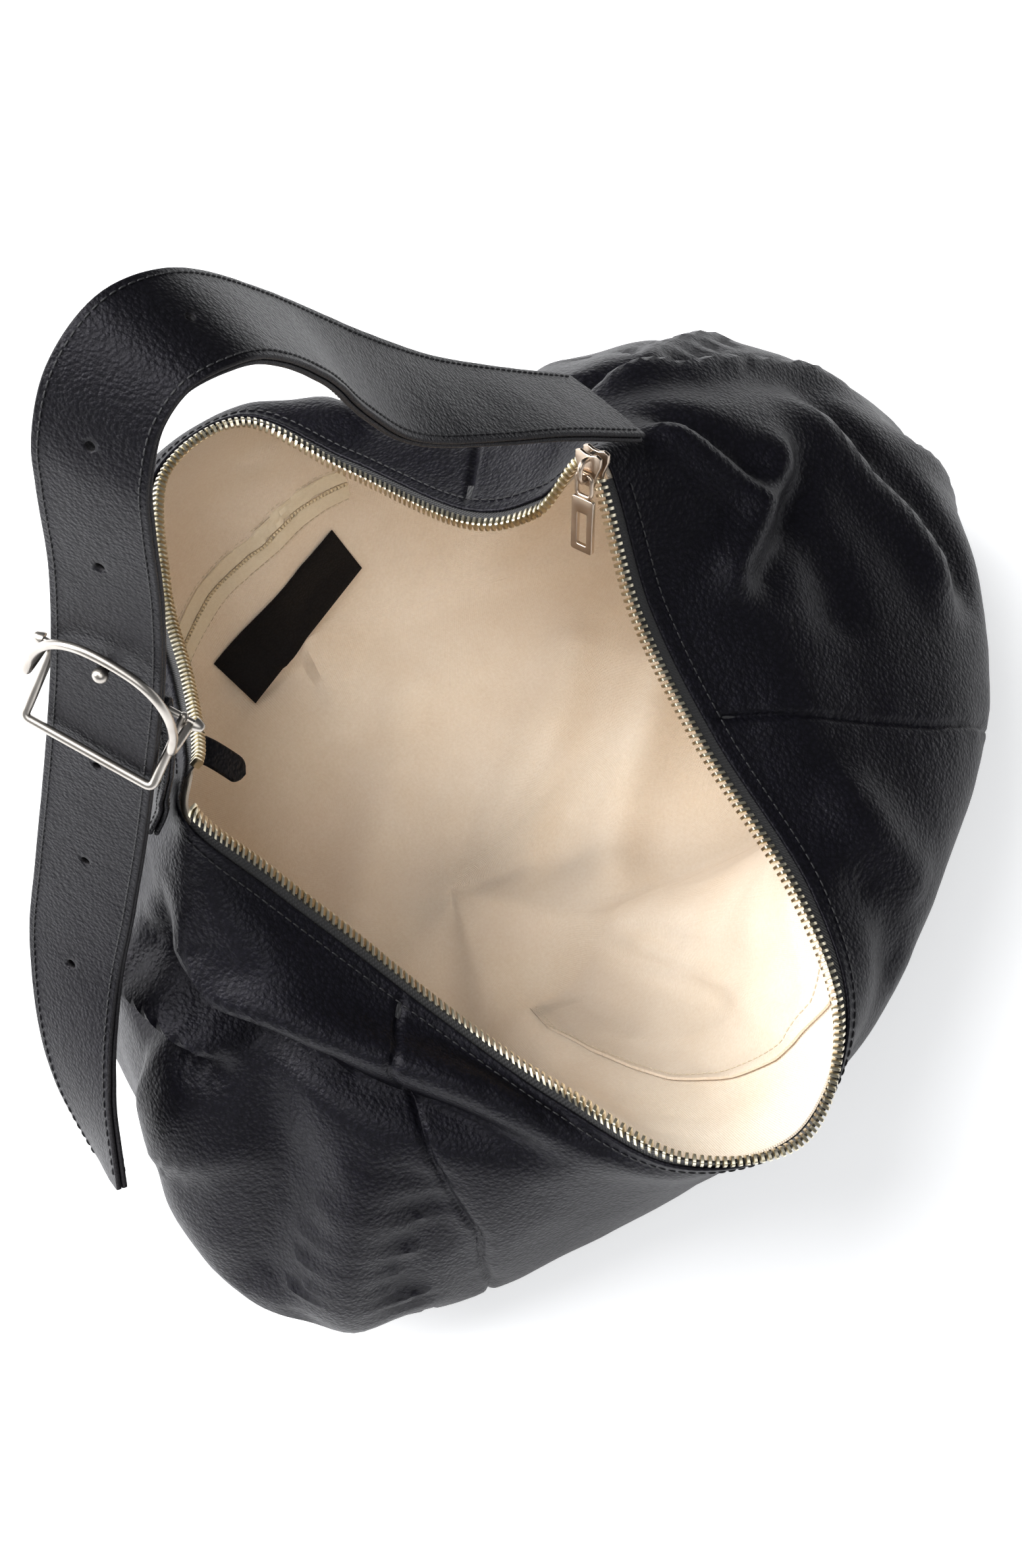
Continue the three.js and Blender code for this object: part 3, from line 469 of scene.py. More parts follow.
# ---- materials ----
class Look:
    """A procedural material built node by node."""

    def __init__(self, name):
        self.material = bpy.data.materials.new(name)
        self.material.use_nodes = True
        self.tree = self.material.node_tree
        self.shader = self.tree.nodes["Principled BSDF"]
        self.place = self.tree.nodes.new("ShaderNodeTexCoord").outputs["Object"]

    def feed(self, socket, value):
        """Gives a socket its value, or links it from another socket."""
        if isinstance(value, bpy.types.NodeSocket):
            self.tree.links.new(value, socket)
        else:
            socket.default_value = value

    def node(self, kind, inputs, **settings):
        made = self.tree.nodes.new(kind)
        for key, value in settings.items():
            setattr(made, key, value)
        for key, value in inputs.items():
            self.feed(made.inputs[key], value)
        return made

    def cloth(self):
        return self.node("ShaderNodeUVMap", {}, uv_map="cloth").outputs["UV"]

    def scaled(self, source, scale):
        return self.node("ShaderNodeMapping", {"Scale": scale, "Vector": source}).outputs["Vector"]

    def noise(self, scale, detail=3.0, source=None):
        inputs = {"Scale": scale, "Detail": detail, "Vector": source or self.place}
        return self.node("ShaderNodeTexNoise", inputs).outputs["Fac"]

    def cells(self, scale, smoothness):
        inputs = {"Scale": scale, "Smoothness": smoothness, "Vector": self.place}
        return self.node("ShaderNodeTexVoronoi", inputs, feature="SMOOTH_F1").outputs["Distance"]

    def wave(self, scale, direction, source, distortion):
        inputs = {"Scale": scale, "Distortion": distortion, "Detail Scale": 2.0, "Vector": source}
        return self.node("ShaderNodeTexWave", inputs, bands_direction=direction).outputs["Fac"]

    def math(self, operation, a, b):
        return self.node("ShaderNodeMath", {0: a, 1: b}, operation=operation).outputs[0]

    def ramp(self, source, low, high, start=0.0, end=1.0):
        made = self.node("ShaderNodeValToRGB", {"Fac": source})
        for element, colour, position in zip(made.color_ramp.elements, (low, high), (start, end)):
            element.position = position
            element.color = (*colour, 1)
        return made.outputs["Color"]

    def range(self, source, low, high):
        inputs = {"To Min": low, "To Max": high, "Value": source}
        return self.node("ShaderNodeMapRange", inputs).outputs["Result"]

    def bump(self, height, distance, strength=1.0):
        inputs = {"Distance": distance, "Strength": strength, "Height": height}
        return self.node("ShaderNodeBump", inputs).outputs["Normal"]

    def finish(self, colour, roughness, normal=None, **uniform):
        """Feeds the shader. uniform holds its plain values, with _ for a space in each name."""
        self.feed(self.shader.inputs["Base Color"], colour)
        self.feed(self.shader.inputs["Roughness"], roughness)
        if normal is not None:
            self.feed(self.shader.inputs["Normal"], normal)
        for key, value in uniform.items():
            self.shader.inputs[key.replace("_", " ")].default_value = value
        return self.material


def leather_look(name, pebble, depth, dark, light, rough_low, rough_high):
    look = Look(name)
    drift = look.noise(0.35 / pebble, 2.0)
    cells = look.cells(1 / pebble, 0.55)
    small = look.cells(2.1 / pebble, 0.4)
    patches = look.noise(28.0, 4.0)
    grain = look.math("ADD", cells, look.math("MULTIPLY", small, 0.32))
    grain = look.math("MULTIPLY", grain, look.math("ADD", drift, 0.45))
    normal = look.bump(look.math("MULTIPLY", grain, -1.0), depth)
    # Colour of the grain: each pebble top is painted lighter as a painted highlight, and the hollows between
    # the pebbles are painted darker as painted shade. The patches add the leather's own random tone.
    mixed = look.math("ADD", cells, look.math("MULTIPLY", patches, 0.6))
    colour = look.ramp(mixed, light, dark, 0.25, 0.95)
    roughness = look.range(mixed, rough_low, rough_high)
    tint = (0.93, 0.91, 1.0, 1)
    return look.finish(colour, roughness, normal, Specular_IOR_Level=0.15, Specular_Tint=tint)


# A wave texture repeats 20 / (2 pi) times in each unit of its scale.
WAVE_REPEAT = 20


def canvas_look(name, low, high, pitch, depth):
    look = Look(name)
    cloth = look.cloth()
    bands = 2 * math.pi / (pitch * WAVE_REPEAT)
    warp = look.wave(bands, "X", cloth, 0.6)
    weft = look.wave(bands, "Y", cloth, 0.6)
    weave = look.math("MAXIMUM", warp, weft)
    slubs = look.noise(900.0, 3.0)
    cloud = look.noise(26.0, 4.0)
    height = look.math("ADD", look.math("MULTIPLY", weave, 0.6), look.math("MULTIPLY", slubs, 0.8))
    normal = look.bump(height, depth)
    tint = look.math("ADD", look.math("MULTIPLY", cloud, 0.7), look.math("MULTIPLY", slubs, 0.5))
    colour = look.ramp(tint, low, high, 0.3, 0.8)
    roughness = look.range(slubs, 0.85, 0.98)
    return look.finish(colour, roughness, normal, Sheen_Weight=0.15, Sheen_Roughness=0.5)


RIB_PITCH = 0.0007
YARN_PITCH = 0.0011


def tape_look():
    look = Look("zip_tape_weave")
    cloth = look.cloth()
    rib = look.wave(2 * math.pi / (RIB_PITCH * WAVE_REPEAT), "DIAGONAL", cloth, 0.3)
    yarn = look.wave(2 * math.pi / (YARN_PITCH * WAVE_REPEAT), "X", cloth, 0.2)
    height = look.math("ADD", rib, look.math("MULTIPLY", yarn, 0.6))
    normal = look.bump(height, 0.00018)
    colour = look.ramp(look.noise(1200.0), (0.006, 0.006, 0.007), (0.02, 0.02, 0.022))
    return look.finish(colour, look.range(rib, 0.7, 0.9), normal, Sheen_Weight=0.2)


BRUSH_DEPTH = 0.00002


def metal_look(name, low, high, rough_low, rough_high, brushed=(1, 1, 1)):
    look = Look(name)
    lines = look.noise(700.0, 5.0, look.scaled(look.place, brushed))
    smears = look.noise(90.0, 3.0)
    colour = look.ramp(smears, low, high, 0.3, 0.7)
    mixed = look.math("ADD", look.math("MULTIPLY", lines, 0.5), look.math("MULTIPLY", smears, 0.5))
    normal = look.bump(lines, BRUSH_DEPTH, 0.5)
    return look.finish(colour, look.range(mixed, rough_low, rough_high), normal, Metallic=1.0)


def thread_look(name, low, high):
    look = Look(name)
    ply = look.noise(2600.0, 2.0)
    colour = look.ramp(ply, low, high)
    return look.finish(colour, look.range(ply, 0.5, 0.75), look.bump(ply, 0.0001))


BODY_LEATHER = leather_look(
    "pebbled_leather", 0.0015, 0.0003, (0.0024, 0.0023, 0.0036), (0.0066, 0.0062, 0.0096), 0.35, 0.48)
STRAP_LEATHER = leather_look(
    "strap_leather", 0.0013, 0.00028, (0.0020, 0.0019, 0.0028), (0.0054, 0.0052, 0.0072), 0.35, 0.48)
PATCH_LEATHER = leather_look(
    "patch_leather", 0.0009, 0.00012, (0.003, 0.0028, 0.003), (0.006, 0.0057, 0.006), 0.5, 0.62)
EDGE_PAINT = leather_look(
    "edge_paint", 0.0006, 0.0001, (0.008, 0.0075, 0.008), (0.022, 0.021, 0.022), 0.42, 0.6)
CANVAS = canvas_look("cream_canvas", (0.81, 0.665, 0.505), (0.93, 0.815, 0.68), 0.00065, 0.00022)
TAPE_CANVAS = canvas_look("cream_zip_tape", (0.76, 0.65, 0.47), (0.88, 0.79, 0.62), 0.0005, 0.0001)
ZIP_TAPE = tape_look()
BRASS = metal_look("pale_brass", (0.62, 0.55, 0.40), (0.80, 0.74, 0.58), 0.22, 0.36)
SLIDER_BRASS = metal_look("rose_brass", (0.46, 0.37, 0.29), (0.62, 0.52, 0.43), 0.24, 0.38)
NICKEL = metal_look("satin_nickel", (0.36, 0.33, 0.30), (0.50, 0.47, 0.43), 0.27, 0.4, (1, 1, 6))
BLACK_THREAD = thread_look("black_thread", (0.004, 0.004, 0.005), (0.016, 0.016, 0.018))
CREAM_THREAD = thread_look("cream_thread", (0.62, 0.52, 0.38), (0.82, 0.72, 0.56))
NYLON = thread_look("cream_nylon", (0.70, 0.58, 0.38), (0.86, 0.76, 0.56))


TOP_STITCH = {"thread": 0.3, "material": BLACK_THREAD}
STRAP_STITCH = {**TOP_STITCH, "pitch": 3.3, "length": 2.6, "lift": 0.0}
CANVAS_STITCH = {"thread": 0.2, "material": CREAM_THREAD, "pitch": 2.6, "length": 2.0, "lift": 0.05}


def settle(piece, body, slot, *nodes):
    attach(piece, body)
    if nodes:
        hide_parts(*nodes)
    return piece


# ---- leather body ----
GROOVE_DEPTH = 1.7
GROOVE_WIDTH = 1.6
CROWN_RADIUS = LEATHER / 2


def panel_columns(start, end):
    """Even columns, with a few close together where the panel turns in at each seam."""
    even = np.linspace(start, end, int((end - start) * 22) + 1)[1:-1]
    close = np.array([0.0, 0.008, 0.018, 0.03, 0.05, 0.08])
    columns = np.concatenate([start + close, even, end - close])
    return np.unique(np.round(columns, 4))


PANEL_ROWS = np.unique(np.concatenate([
    np.linspace(0, 0.2, 7), np.linspace(0.2, 1, 18), np.linspace(1, 2, 28),
    np.linspace(2, 3, 16), np.linspace(3, 4, 12),
]))


def foot_inward(s):
    """Level direction in from the foot of the wall."""
    return unit((wall_point(s, 4) - wall_point(s, 3)) * [1, 1, 0])


def rim_up(s):
    return unit(wall_point(s, 0) - wall_point(s, 0.12))


def leather_panel(side):
    start, end = SEAMS[side]
    s, v = np.meshgrid(panel_columns(start, end), PANEL_ROWS)
    s = bent(s, v)
    points = wall_point(s, v)
    normals = wall_normal(s, v)
    to_seam = np.minimum(
        np.linalg.norm(points - points[:, :1], axis=-1),
        np.linalg.norm(points - points[:, -1:], axis=-1),
    )
    groove = GROOVE_DEPTH * np.exp(-((to_seam / GROOVE_WIDTH) ** 2))
    pucker = 0.5 * rough(points, 7, 5) * np.exp(-((to_seam / 9) ** 2))
    rise = leather_relief(v, points) - groove * smooth(v / 0.15) + pucker * smooth(v / 0.4)
    outer = points + normals * rise[..., None]
    inner = outer - normals * LEATHER
    up = rim_up(s[0])
    crown = []
    for angle in np.linspace(math.pi, 0, 6)[1:-1]:
        out = normals[0] * (math.cos(angle) - 1)
        crown.append(outer[0] + CROWN_RADIUS * (out + up * math.sin(angle)))
    piece = sheet_piece(f"{side}_leather", outer, inner, BODY_LEATHER, np.array(crown))
    return settle(piece, "bag", "leather", f"panel_{side}")


for panel_side in SEAMS:
    leather_panel(panel_side)


# Section of the base: share of the way out from its middle, then height.
BASE_SECTION = [
    (0.0, 1.8), (0.5, 1.9), (0.97, 1.8), (1.0, 1.2),
    (1.0, 0.5), (0.985, 0.0), (0.5, 0.0), (0.0, 0.0),
]


def base_leather():
    """Base: a leather disc inside the foot of the walls, very slightly cushioned."""
    s = np.linspace(0, COUNT, 121)[:-1]
    edge = wall_point(s, 4)
    edge = edge + foot_inward(s) * 0.6
    centre = edge.mean(axis=0)
    rings = []
    for share, height in BASE_SECTION:
        ring = centre + (edge - centre) * max(share, 0.001)
        ring[:, 2] = height
        rings.append(ring)
    return settle(swept("base_leather", rings, BODY_LEATHER), "bag", "leather", "base_panel")


base_leather()


# ---- zip: tapes, teeth and topstitching ----
ZIP_SIDES = {"front": (0.1, 10.75), "back": (11.22, 19.2)}


def rim_line(start, end, spacing=1.0):
    """Even points along the leather's edge, as values of s."""
    fine = np.linspace(start, end, 1500)
    points = wall_point(fine, 0)
    at = run_lengths(points)
    number = int(round(at[-1] / spacing))
    return np.interp(np.linspace(0, at[-1], number + 1), at, fine)


def zip_tape(side):
    s = rim_line(*ZIP_SIDES[side])
    up = rim_up(s)
    out = wall_normal(s, 0.02)
    edge = wall_point(s, 0)
    ripple = 0.25 * rough(edge, 12, 7)[:, None] * out
    faces = []
    for depth in (TAPE_DEPTH, TAPE_DEPTH + TAPE):
        rows = [edge + up * height - out * depth + ripple for height in (TAPE_ABOVE + 0.6, 3.0, 1.5, 0.0)]
        below = wall_point(s, 0.25) - wall_normal(s, 0.25) * depth
        rows += [rows[-1] * 0.5 + below * 0.5, below]
        faces.append(np.array(rows))
    piece = sheet_piece(f"zip_tape_{side}_weave", faces[0], faces[1], ZIP_TAPE)
    return settle(piece, "bag", "zip_tape", f"zip_tape_{side}")


TOOTH_LENGTH = 4.2
TOOTH_THICK = 3.5
TOOTH_WIDE = 1.4


def zip_teeth(side):
    """One clamped tooth every pitch along the tape's edge."""
    s = rim_line(*ZIP_SIDES[side], TOOTH_PITCH)
    up = rim_up(s)
    out = wall_normal(s, 0.02)
    middle = TAPE_DEPTH + TAPE / 2
    centre = wall_point(s, 0) - out * middle + up * (TAPE_ABOVE + 1.6)
    way = unit(np.gradient(centre, axis=0))
    outline = [
        (-0.5, 0.4), (-0.42, 0.5), (0.3, 0.5), (0.44, 0.43), (0.5, 0.26),
        (0.5, -0.26), (0.44, -0.43), (0.3, -0.5), (-0.42, -0.5), (-0.5, -0.4),
    ]
    layers = [(-0.5, 0.72), (-0.36, 1.0), (0.36, 1.0), (0.5, 0.72)]
    verts = []
    faces = []
    for k in range(len(s)):
        faces += ring_faces(len(layers), len(outline), len(verts))
        for across, size in layers:
            for high, thick in outline:
                verts.append(
                    centre[k] + way[k] * across * TOOTH_WIDE
                    + up[k] * high * TOOTH_LENGTH * size + out[k] * thick * TOOTH_THICK * size
                )
    piece = outward(to_object(f"zip_teeth_{side}_metal", verts, faces, BRASS))
    return settle(piece, "bag", "zip_metal", f"zip_teeth_{side}")


def rim_stitches(side):
    s = rim_line(*ZIP_SIDES[side])
    v = 0.02 + 4.0 / np.linalg.norm(wall_point(s, 1) - wall_point(s, 0), axis=1)
    points = wall_point(s, v)
    normals = wall_normal(s, v)
    points = points + normals * leather_relief(v, points)[:, None]
    piece = stitches(f"rim_stitches_{side}", points, normals, **TOP_STITCH)
    return settle(piece, "bag", "leather")


for zip_side in ZIP_SIDES:
    zip_tape(zip_side)
    zip_teeth(zip_side)
    rim_stitches(zip_side)


# ---- lining ----
def lining_lean(s):
    """How far the lining of the front hangs straight down to the floor instead of following the leather."""
    return smooth((np.mod(s, COUNT) - 2.6) / 2.2) * smooth((9.6 - np.mod(s, COUNT)) / 2.0)


LEAN_FOOT = 58.0
# Room the lining leaves for the sewn edges of the leather, and how far its own hollows may reach out.
SEAM_ROOM = 0.7
DEEPEST_HOLLOW = -0.8


def lining_point(s, v, depth):
    surface = wall_point(s, v)
    hollow = np.minimum(leather_relief(v, surface), 0) - SEAM_ROOM * smooth(v / 0.5)
    base = surface - wall_normal(s, v) * (depth - hollow[..., None])
    rim = wall_point(s, 0) - wall_normal(s, 0) * depth
    foot = wall_point(s, 4)
    foot = foot + foot_inward(s) * (LEAN_FOOT + depth)
    foot[..., 2] = FOOT_Z + depth
    share = np.interp(v, [0, 1, 2, 3, 4], [0, 0.15, 0.38, 0.8, 1])[..., None]
    straight = rim * (1 - share) + foot * share
    sag = np.sin(share * math.pi)
    straight = straight - [0, 0, 1] * sag * 5
    lean = lining_lean(s)[..., None] * smooth(v / 0.7)[..., None]
    return base * (1 - lean) + straight * lean


def lining_relief(s, v):
    points = wall_point(s, v)
    keep = smooth(v / 0.6) * smooth((4 - v) / 0.5)
    swell = 1.8 * rough(points, 55, 11) + 0.8 * rough(points, 22, 12)
    return keep * (np.abs(swell) + np.maximum(fold_height(points, v, LINING_FOLDS), DEEPEST_HOLLOW))


FLOOR_JOIN = 3.35
LINING_ROWS = np.unique(np.concatenate([np.linspace(0, 1, 14), np.linspace(1, FLOOR_JOIN, 36)]))


def lining_grid(columns, rows, depth):
    s, v = np.meshgrid(columns, rows)
    points = lining_point(s, v, depth)
    way = unit(np.cross(
        lining_point(s, np.minimum(v + 0.02, 4), depth) - lining_point(s, np.maximum(v - 0.02, 0), depth),
        lining_point(s + 0.02, v, depth) - lining_point(s - 0.02, v, depth),
    ))
    return points - way * lining_relief(s, v)[..., None]


def lining_spot(s, v, lift):
    """Point and normal on the inside face of the lining."""
    s = np.asarray(s, float)
    v = np.asarray(v, float)
    depth = LINING_DEPTH + LINING
    step = 0.02
    down = lining_point(s, np.minimum(v + step, 4), depth) - lining_point(s, v - step, depth)
    around = lining_point(s + step, v, depth) - lining_point(s - step, v, depth)
    normal = -unit(np.cross(down, around))
    point = lining_point(s, v, depth) + normal * (lining_relief(s, v)[..., None] + lift)
    return point, normal


def lining_wall(side, start, end):
    columns = np.linspace(start, end, int((end - start) * 14) + 1)
    outer = lining_grid(columns, LINING_ROWS, LINING_DEPTH)
    inner = lining_grid(columns, LINING_ROWS, LINING_DEPTH + LINING)
    piece = sheet_piece(f"lining_{side}_canvas", outer, inner, CANVAS)
    return settle(piece, "bag", "canvas", f"lining_{side}")


lining_wall("front", 0, SLIDER_TIP)
lining_wall("back", SLIDER_TIP, COUNT)

# Soft folds across the lining floor: height, width, then two points.
FLOOR_FOLDS = [
    (13.0, 13, (135, 0), (62, -42)),
    (6.0, 10, (118, 30), (40, -22)),
    (5.0, 12, (60, 60), (-20, 10)),
    (4.0, 12, (-60, 20), (-80, -30)),
]


def lining_floor():
    s = np.linspace(0, COUNT, 241)
    depth = LINING_DEPTH + LINING
    edge, _ = lining_spot(s, np.full(s.shape, FLOOR_JOIN - 0.1), 0.06)
    above, _ = lining_spot(s, np.full(s.shape, FLOOR_JOIN - 0.22), 0.06)
    centre = edge[:-1].mean(axis=0)
    level = FOOT_Z + depth + 0.4
    reach = np.linalg.norm((edge - centre)[:, :2], axis=1)
    run = np.linalg.norm((above - centre)[:, :2], axis=1) - reach
    slope = np.clip((above - edge)[:, 2] / np.maximum(run, 0.2), 0.3, 3.0)
    flare = np.clip(2 * (edge[:, 2] - level) / (slope * reach), 0.03, 0.4)
    grid = []
    for share in np.concatenate([np.linspace(1.0, 0.8, 24), np.linspace(0.78, 0.02, 30), [0.0004]]):
        ring = centre + (edge - centre) * share
        rise = np.clip((share - 1 + flare) / flare, 0, 1) ** 2
        ring[:, 2] = level + (edge[:, 2] - level) * rise
        inside = smooth((1 - share) / 0.3)
        ring[:, 2] += inside * (0.4 + np.abs(2.4 * rough(ring, 60, 21) + 1.0 * rough(ring, 24, 22)))
        for height, width, start, end in FLOOR_FOLDS:
            a = np.array(start, float)
            b = np.array(end, float)
            t = np.clip(((ring[:, :2] - a) @ (b - a)) / ((b - a) @ (b - a)), 0, 1)
            gap = np.linalg.norm(ring[:, :2] - (a + t[:, None] * (b - a)), axis=1)
            ring[:, 2] += inside * height * np.exp(-((gap / width) ** 2))
        grid.append(ring)
    top = np.array(grid)
    piece = sheet_piece("lining_floor_canvas", top, top - [0, 0, LINING], CANVAS)
    return settle(piece, "bag", "canvas", "lining_floor")


lining_floor()


# ---- pieces on the lining ----
# Corners of the label patch, and about where they lie on the wall as (s, v).
PATCH_CORNERS = np.array([(9.0, 118.5, 23.5), (73.0, 119.0, 48.5), (77.0, 106.0, 27.5), (13.0, 100.0, 9.0)])
PATCH_WALL = np.array([(15.58, 2.85), (14.48, 2.47), (14.32, 2.78), (15.48, 3.3)])


def label_patch():
    """Stiff flat label on the lining: it stays straight where the wall behind it is hollow."""
    p, q = np.meshgrid(np.linspace(0, 1, 36), np.linspace(0, 1, 16))
    shares = [(1 - p) * (1 - q), p * (1 - q), p * q, (1 - p) * q]
    flat = sum(share[..., None] * corner for share, corner in zip(shares, PATCH_CORNERS))
    spot = sum(share[..., None] * corner for share, corner in zip(shares, PATCH_WALL))
    wall, normal = lining_spot(spot[..., 0], spot[..., 1], 0.3)
    facing = unit(normal.reshape(-1, 3).mean(axis=0))
    clear = ((flat - wall) * normal).sum(axis=-1)
    under = flat + facing * np.maximum(-clear, 0)[..., None]
    edge = np.minimum(np.minimum(p, 1 - p) * 36, np.minimum(q, 1 - q) * 16)
    over = under + facing * 1.3 * (smooth(edge / 1.5) * 0.5 + 0.5)[..., None]
    settle(sheet_piece("blank_label_patch", over, under, PATCH_LEATHER), "bag", "leather", "label_patch")


label_patch()

POCKET_LINE_S = np.linspace(14.3, 16.1, 120)


def pocket_line(s):
    """Height of the inner zip pocket's mouth: it slopes down towards the buckle end."""
    along = s - POCKET_LINE_S[0]
    return 2.19 + 0.04 * along + 0.155 * along * along


def pocket_strip(name, top, bottom, node):
    middle = pocket_line(POCKET_LINE_S)
    rows = np.linspace(top, bottom, 5)
    s = np.repeat(POCKET_LINE_S[None], len(rows), axis=0)
    v = middle[None] + rows[:, None]
    under, _ = lining_spot(s, v, 0.15)
    over, _ = lining_spot(s, v, 0.8)
    piece = sheet_piece(name, over, under, TAPE_CANVAS)
    return settle(piece, "bag", "canvas", node)


pocket_strip("pocket_tape_upper_cloth", -0.10, -0.015, "pocket_tape_upper")
pocket_strip("pocket_tape_lower_cloth", 0.015, 0.10, "pocket_tape_lower")


def pocket_coil():
    """Closed nylon coil of the pocket zip: small cross bars in a row."""
    s = POCKET_LINE_S
    points, normals = lining_spot(s, pocket_line(s), 0.7)
    piece = stitches("pocket_zip_coil", points, normals, 0.75, NYLON, pitch=1.5, length=1.3, lift=0.1)
    return settle(piece, "bag", "canvas", "pocket_teeth")


pocket_coil()
for row_name, offset in (("upper", -0.115), ("lower", 0.115)):
    seam_points, seam_normals = lining_spot(POCKET_LINE_S, pocket_line(POCKET_LINE_S) + offset, 0.05)
    seam = stitches(f"pocket_stitches_{row_name}", seam_points, seam_normals, **CANVAS_STITCH)
    settle(seam, "bag", "canvas")


# Hem of the slip pocket, rising from the floor at the left to the rim: s, then v.
SLIP_S = [4.87, 5.18, 5.57, 5.98, 6.35, 6.73, 7.1, 7.5, 7.9, 8.2]
SLIP_V = [2.85, 2.47, 2.10, 1.68, 1.23, 0.72, 0.36, 0.22, 0.2, 0.24]
SLIP_FOOT = 3.3


def slip_pocket():
    columns = np.linspace(SLIP_S[0], SLIP_S[-1], 80)
    share = np.linspace(0, 1, 28)
    top = np.interp(columns, SLIP_S, SLIP_V)
    s = np.repeat(columns[None], len(share), axis=0)
    v = top[None] + (SLIP_FOOT - top[None]) * share[:, None]
    belly = np.sin(np.linspace(0, math.pi, len(columns)))[None] * (1 - share[:, None]) * 0.9
    under, normal = lining_spot(s, v, 0.15)
    under = under + normal * belly[..., None]
    thick = np.where(share < 0.07, 1.1, 0.6)[:, None, None]
    piece = sheet_piece("slip_pocket_canvas", under + normal * thick, under, CANVAS)
    settle(piece, "bag", "canvas", "slip_pocket")
    hem = under[2] + normal[2] * 0.9
    settle(stitches("slip_pocket_stitches", hem, normal[2], **CANVAS_STITCH), "bag", "canvas")
    side = under[:, 2] + normal[:, 2] * 0.6
    settle(stitches("slip_pocket_side", side, normal[:, 2], **CANVAS_STITCH), "bag", "canvas")


slip_pocket()


# ---- long strap ----
STRAP_PATH = [
    (0, (110, 11, 228), (0.02, -0.99, 0.10)), (40, (80, 16, 261), (-0.05, -0.99, 0.10)),
    (80, (53, 21, 289), (-0.20, -0.98, 0.00)), (120, (28, 25, 320), (-0.37, -0.91, -0.16)),
    (160, (9, 28, 355), (-0.29, -0.95, -0.13)), (200, (-8, 28, 391), (-0.12, -0.99, -0.09)),
    (240, (-28, 28, 425), (-0.02, -0.99, -0.11)), (262, (-43, 28, 441), (0.02, -0.99, -0.14)),
    (282, (-62, 30, 446), (0.09, -0.98, -0.18)), (302, (-79, 29, 437), (0.20, -0.97, -0.15)),
    (322, (-90, 25, 420), (0.28, -0.95, -0.09)), (342, (-94, 22, 401), (0.31, -0.95, -0.05)),
    (380, (-98, 18, 363), (0.32, -0.95, 0.00)), (420, (-104, 16, 323), (0.33, -0.94, 0.00)),
    (460, (-112, 15, 284), (0.30, -0.95, 0.00)), (500, (-121, 14, 245), (0.29, -0.95, 0.01)),
    (540, (-132, 12, 207), (0.26, -0.96, 0.09)), (580, (-146, 7, 170), (0.22, -0.92, 0.30)),
    (620, (-164, -11, 139), (0.10, -0.77, 0.62)), (655, (-177, -38, 117), (-0.16, -0.44, 0.88)),
]
STRAP_KNOTS = np.array([row[0] for row in STRAP_PATH], float)
STRAP_END = STRAP_KNOTS[-1]


def strap_curve(at, which):
    """Smooth curve through the strap's path points, or through its directions across."""
    values = np.array([row[which] for row in STRAP_PATH], float)
    slopes = np.zeros_like(values)
    for k in range(len(values)):
        a = max(k - 1, 0)
        b = min(k + 1, len(values) - 1)
        slopes[k] = (values[b] - values[a]) / (STRAP_KNOTS[b] - STRAP_KNOTS[a])
    at = np.clip(np.atleast_1d(np.asarray(at, float)), 0, STRAP_END)
    k = np.clip(np.searchsorted(STRAP_KNOTS, at) - 1, 0, len(values) - 2)
    span = STRAP_KNOTS[k + 1] - STRAP_KNOTS[k]
    t = ((at - STRAP_KNOTS[k]) / span)[:, None]
    span = span[:, None]
    t2 = t * t
    t3 = t2 * t
    return (
        values[k] * (2 * t3 - 3 * t2 + 1) + slopes[k] * span * (t3 - 2 * t2 + t)
        + values[k + 1] * (3 * t2 - 2 * t3) + slopes[k + 1] * span * (t3 - t2)
    )


def strap_frame(at):
    middle = strap_curve(at, 1)
    along = unit(strap_curve(np.asarray(at) + 1.0, 1) - strap_curve(np.asarray(at) - 1.0, 1))
    out = unit(np.cross(along, strap_curve(at, 2)))
    across = unit(np.cross(out, along))
    return middle, along, across, out


def strap_point(at, side, lift):
    middle, _, across, out = strap_frame(at)
    return middle + across * side + out * lift


def strap_blend(piece):
    """Bakes the piece's placement into its mesh."""
    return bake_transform(piece)


def strap_section(low, high, dome):
    """Closed outline of one layer as (side, lift), with rounded edges and a slight crown."""
    half = STRAP_WIDTH / 2
    radius = (high - low) / 2
    middle = (high + low) / 2
    outline = []
    for side in np.linspace(-half + radius, half - radius, 13):
        share = 1 - (side / half) ** 2
        outline.append((side, high + dome * (share - 0.3)))
    for angle in (60, 30, 0, -30, -60):
        angle = math.radians(angle)
        outline.append((half - radius + radius * math.cos(angle), middle + radius * math.sin(angle)))
    for side in np.linspace(half - radius, -half + radius, 9):
        outline.append((side, low))
    for angle in (240, 210, 180, 150, 120):
        angle = math.radians(angle)
        outline.append((-half + radius + radius * math.cos(angle), middle + radius * math.sin(angle)))
    return outline


PIN_SIDES = 16
PIN_ENDS = (5.0, -9.0)


def hole_cutter():
    """One mesh with a round pin through the strap at each hole."""
    verts = []
    faces = []
    for k in range(HOLE_COUNT):
        middle, along, across, out = (value[0] for value in strap_frame([FIRST_HOLE + k * HOLE_SPACING]))
        faces += ring_faces(len(PIN_ENDS), PIN_SIDES, len(verts))
        for lift in PIN_ENDS:
            for j in range(PIN_SIDES):
                angle = 2 * math.pi * j / PIN_SIDES
                spot = along * math.cos(angle) + across * math.sin(angle)
                verts.append(middle + out * lift + spot * HOLE_RADIUS)
    return outward(to_object("hole_cutter", verts, faces, EDGE_PAINT))


def apply_modifiers(piece):
    depsgraph = bpy.context.evaluated_depsgraph_get()
    settled = bpy.data.meshes.new_from_object(piece.evaluated_get(depsgraph))
    piece.modifiers.clear()
    piece.data = settled


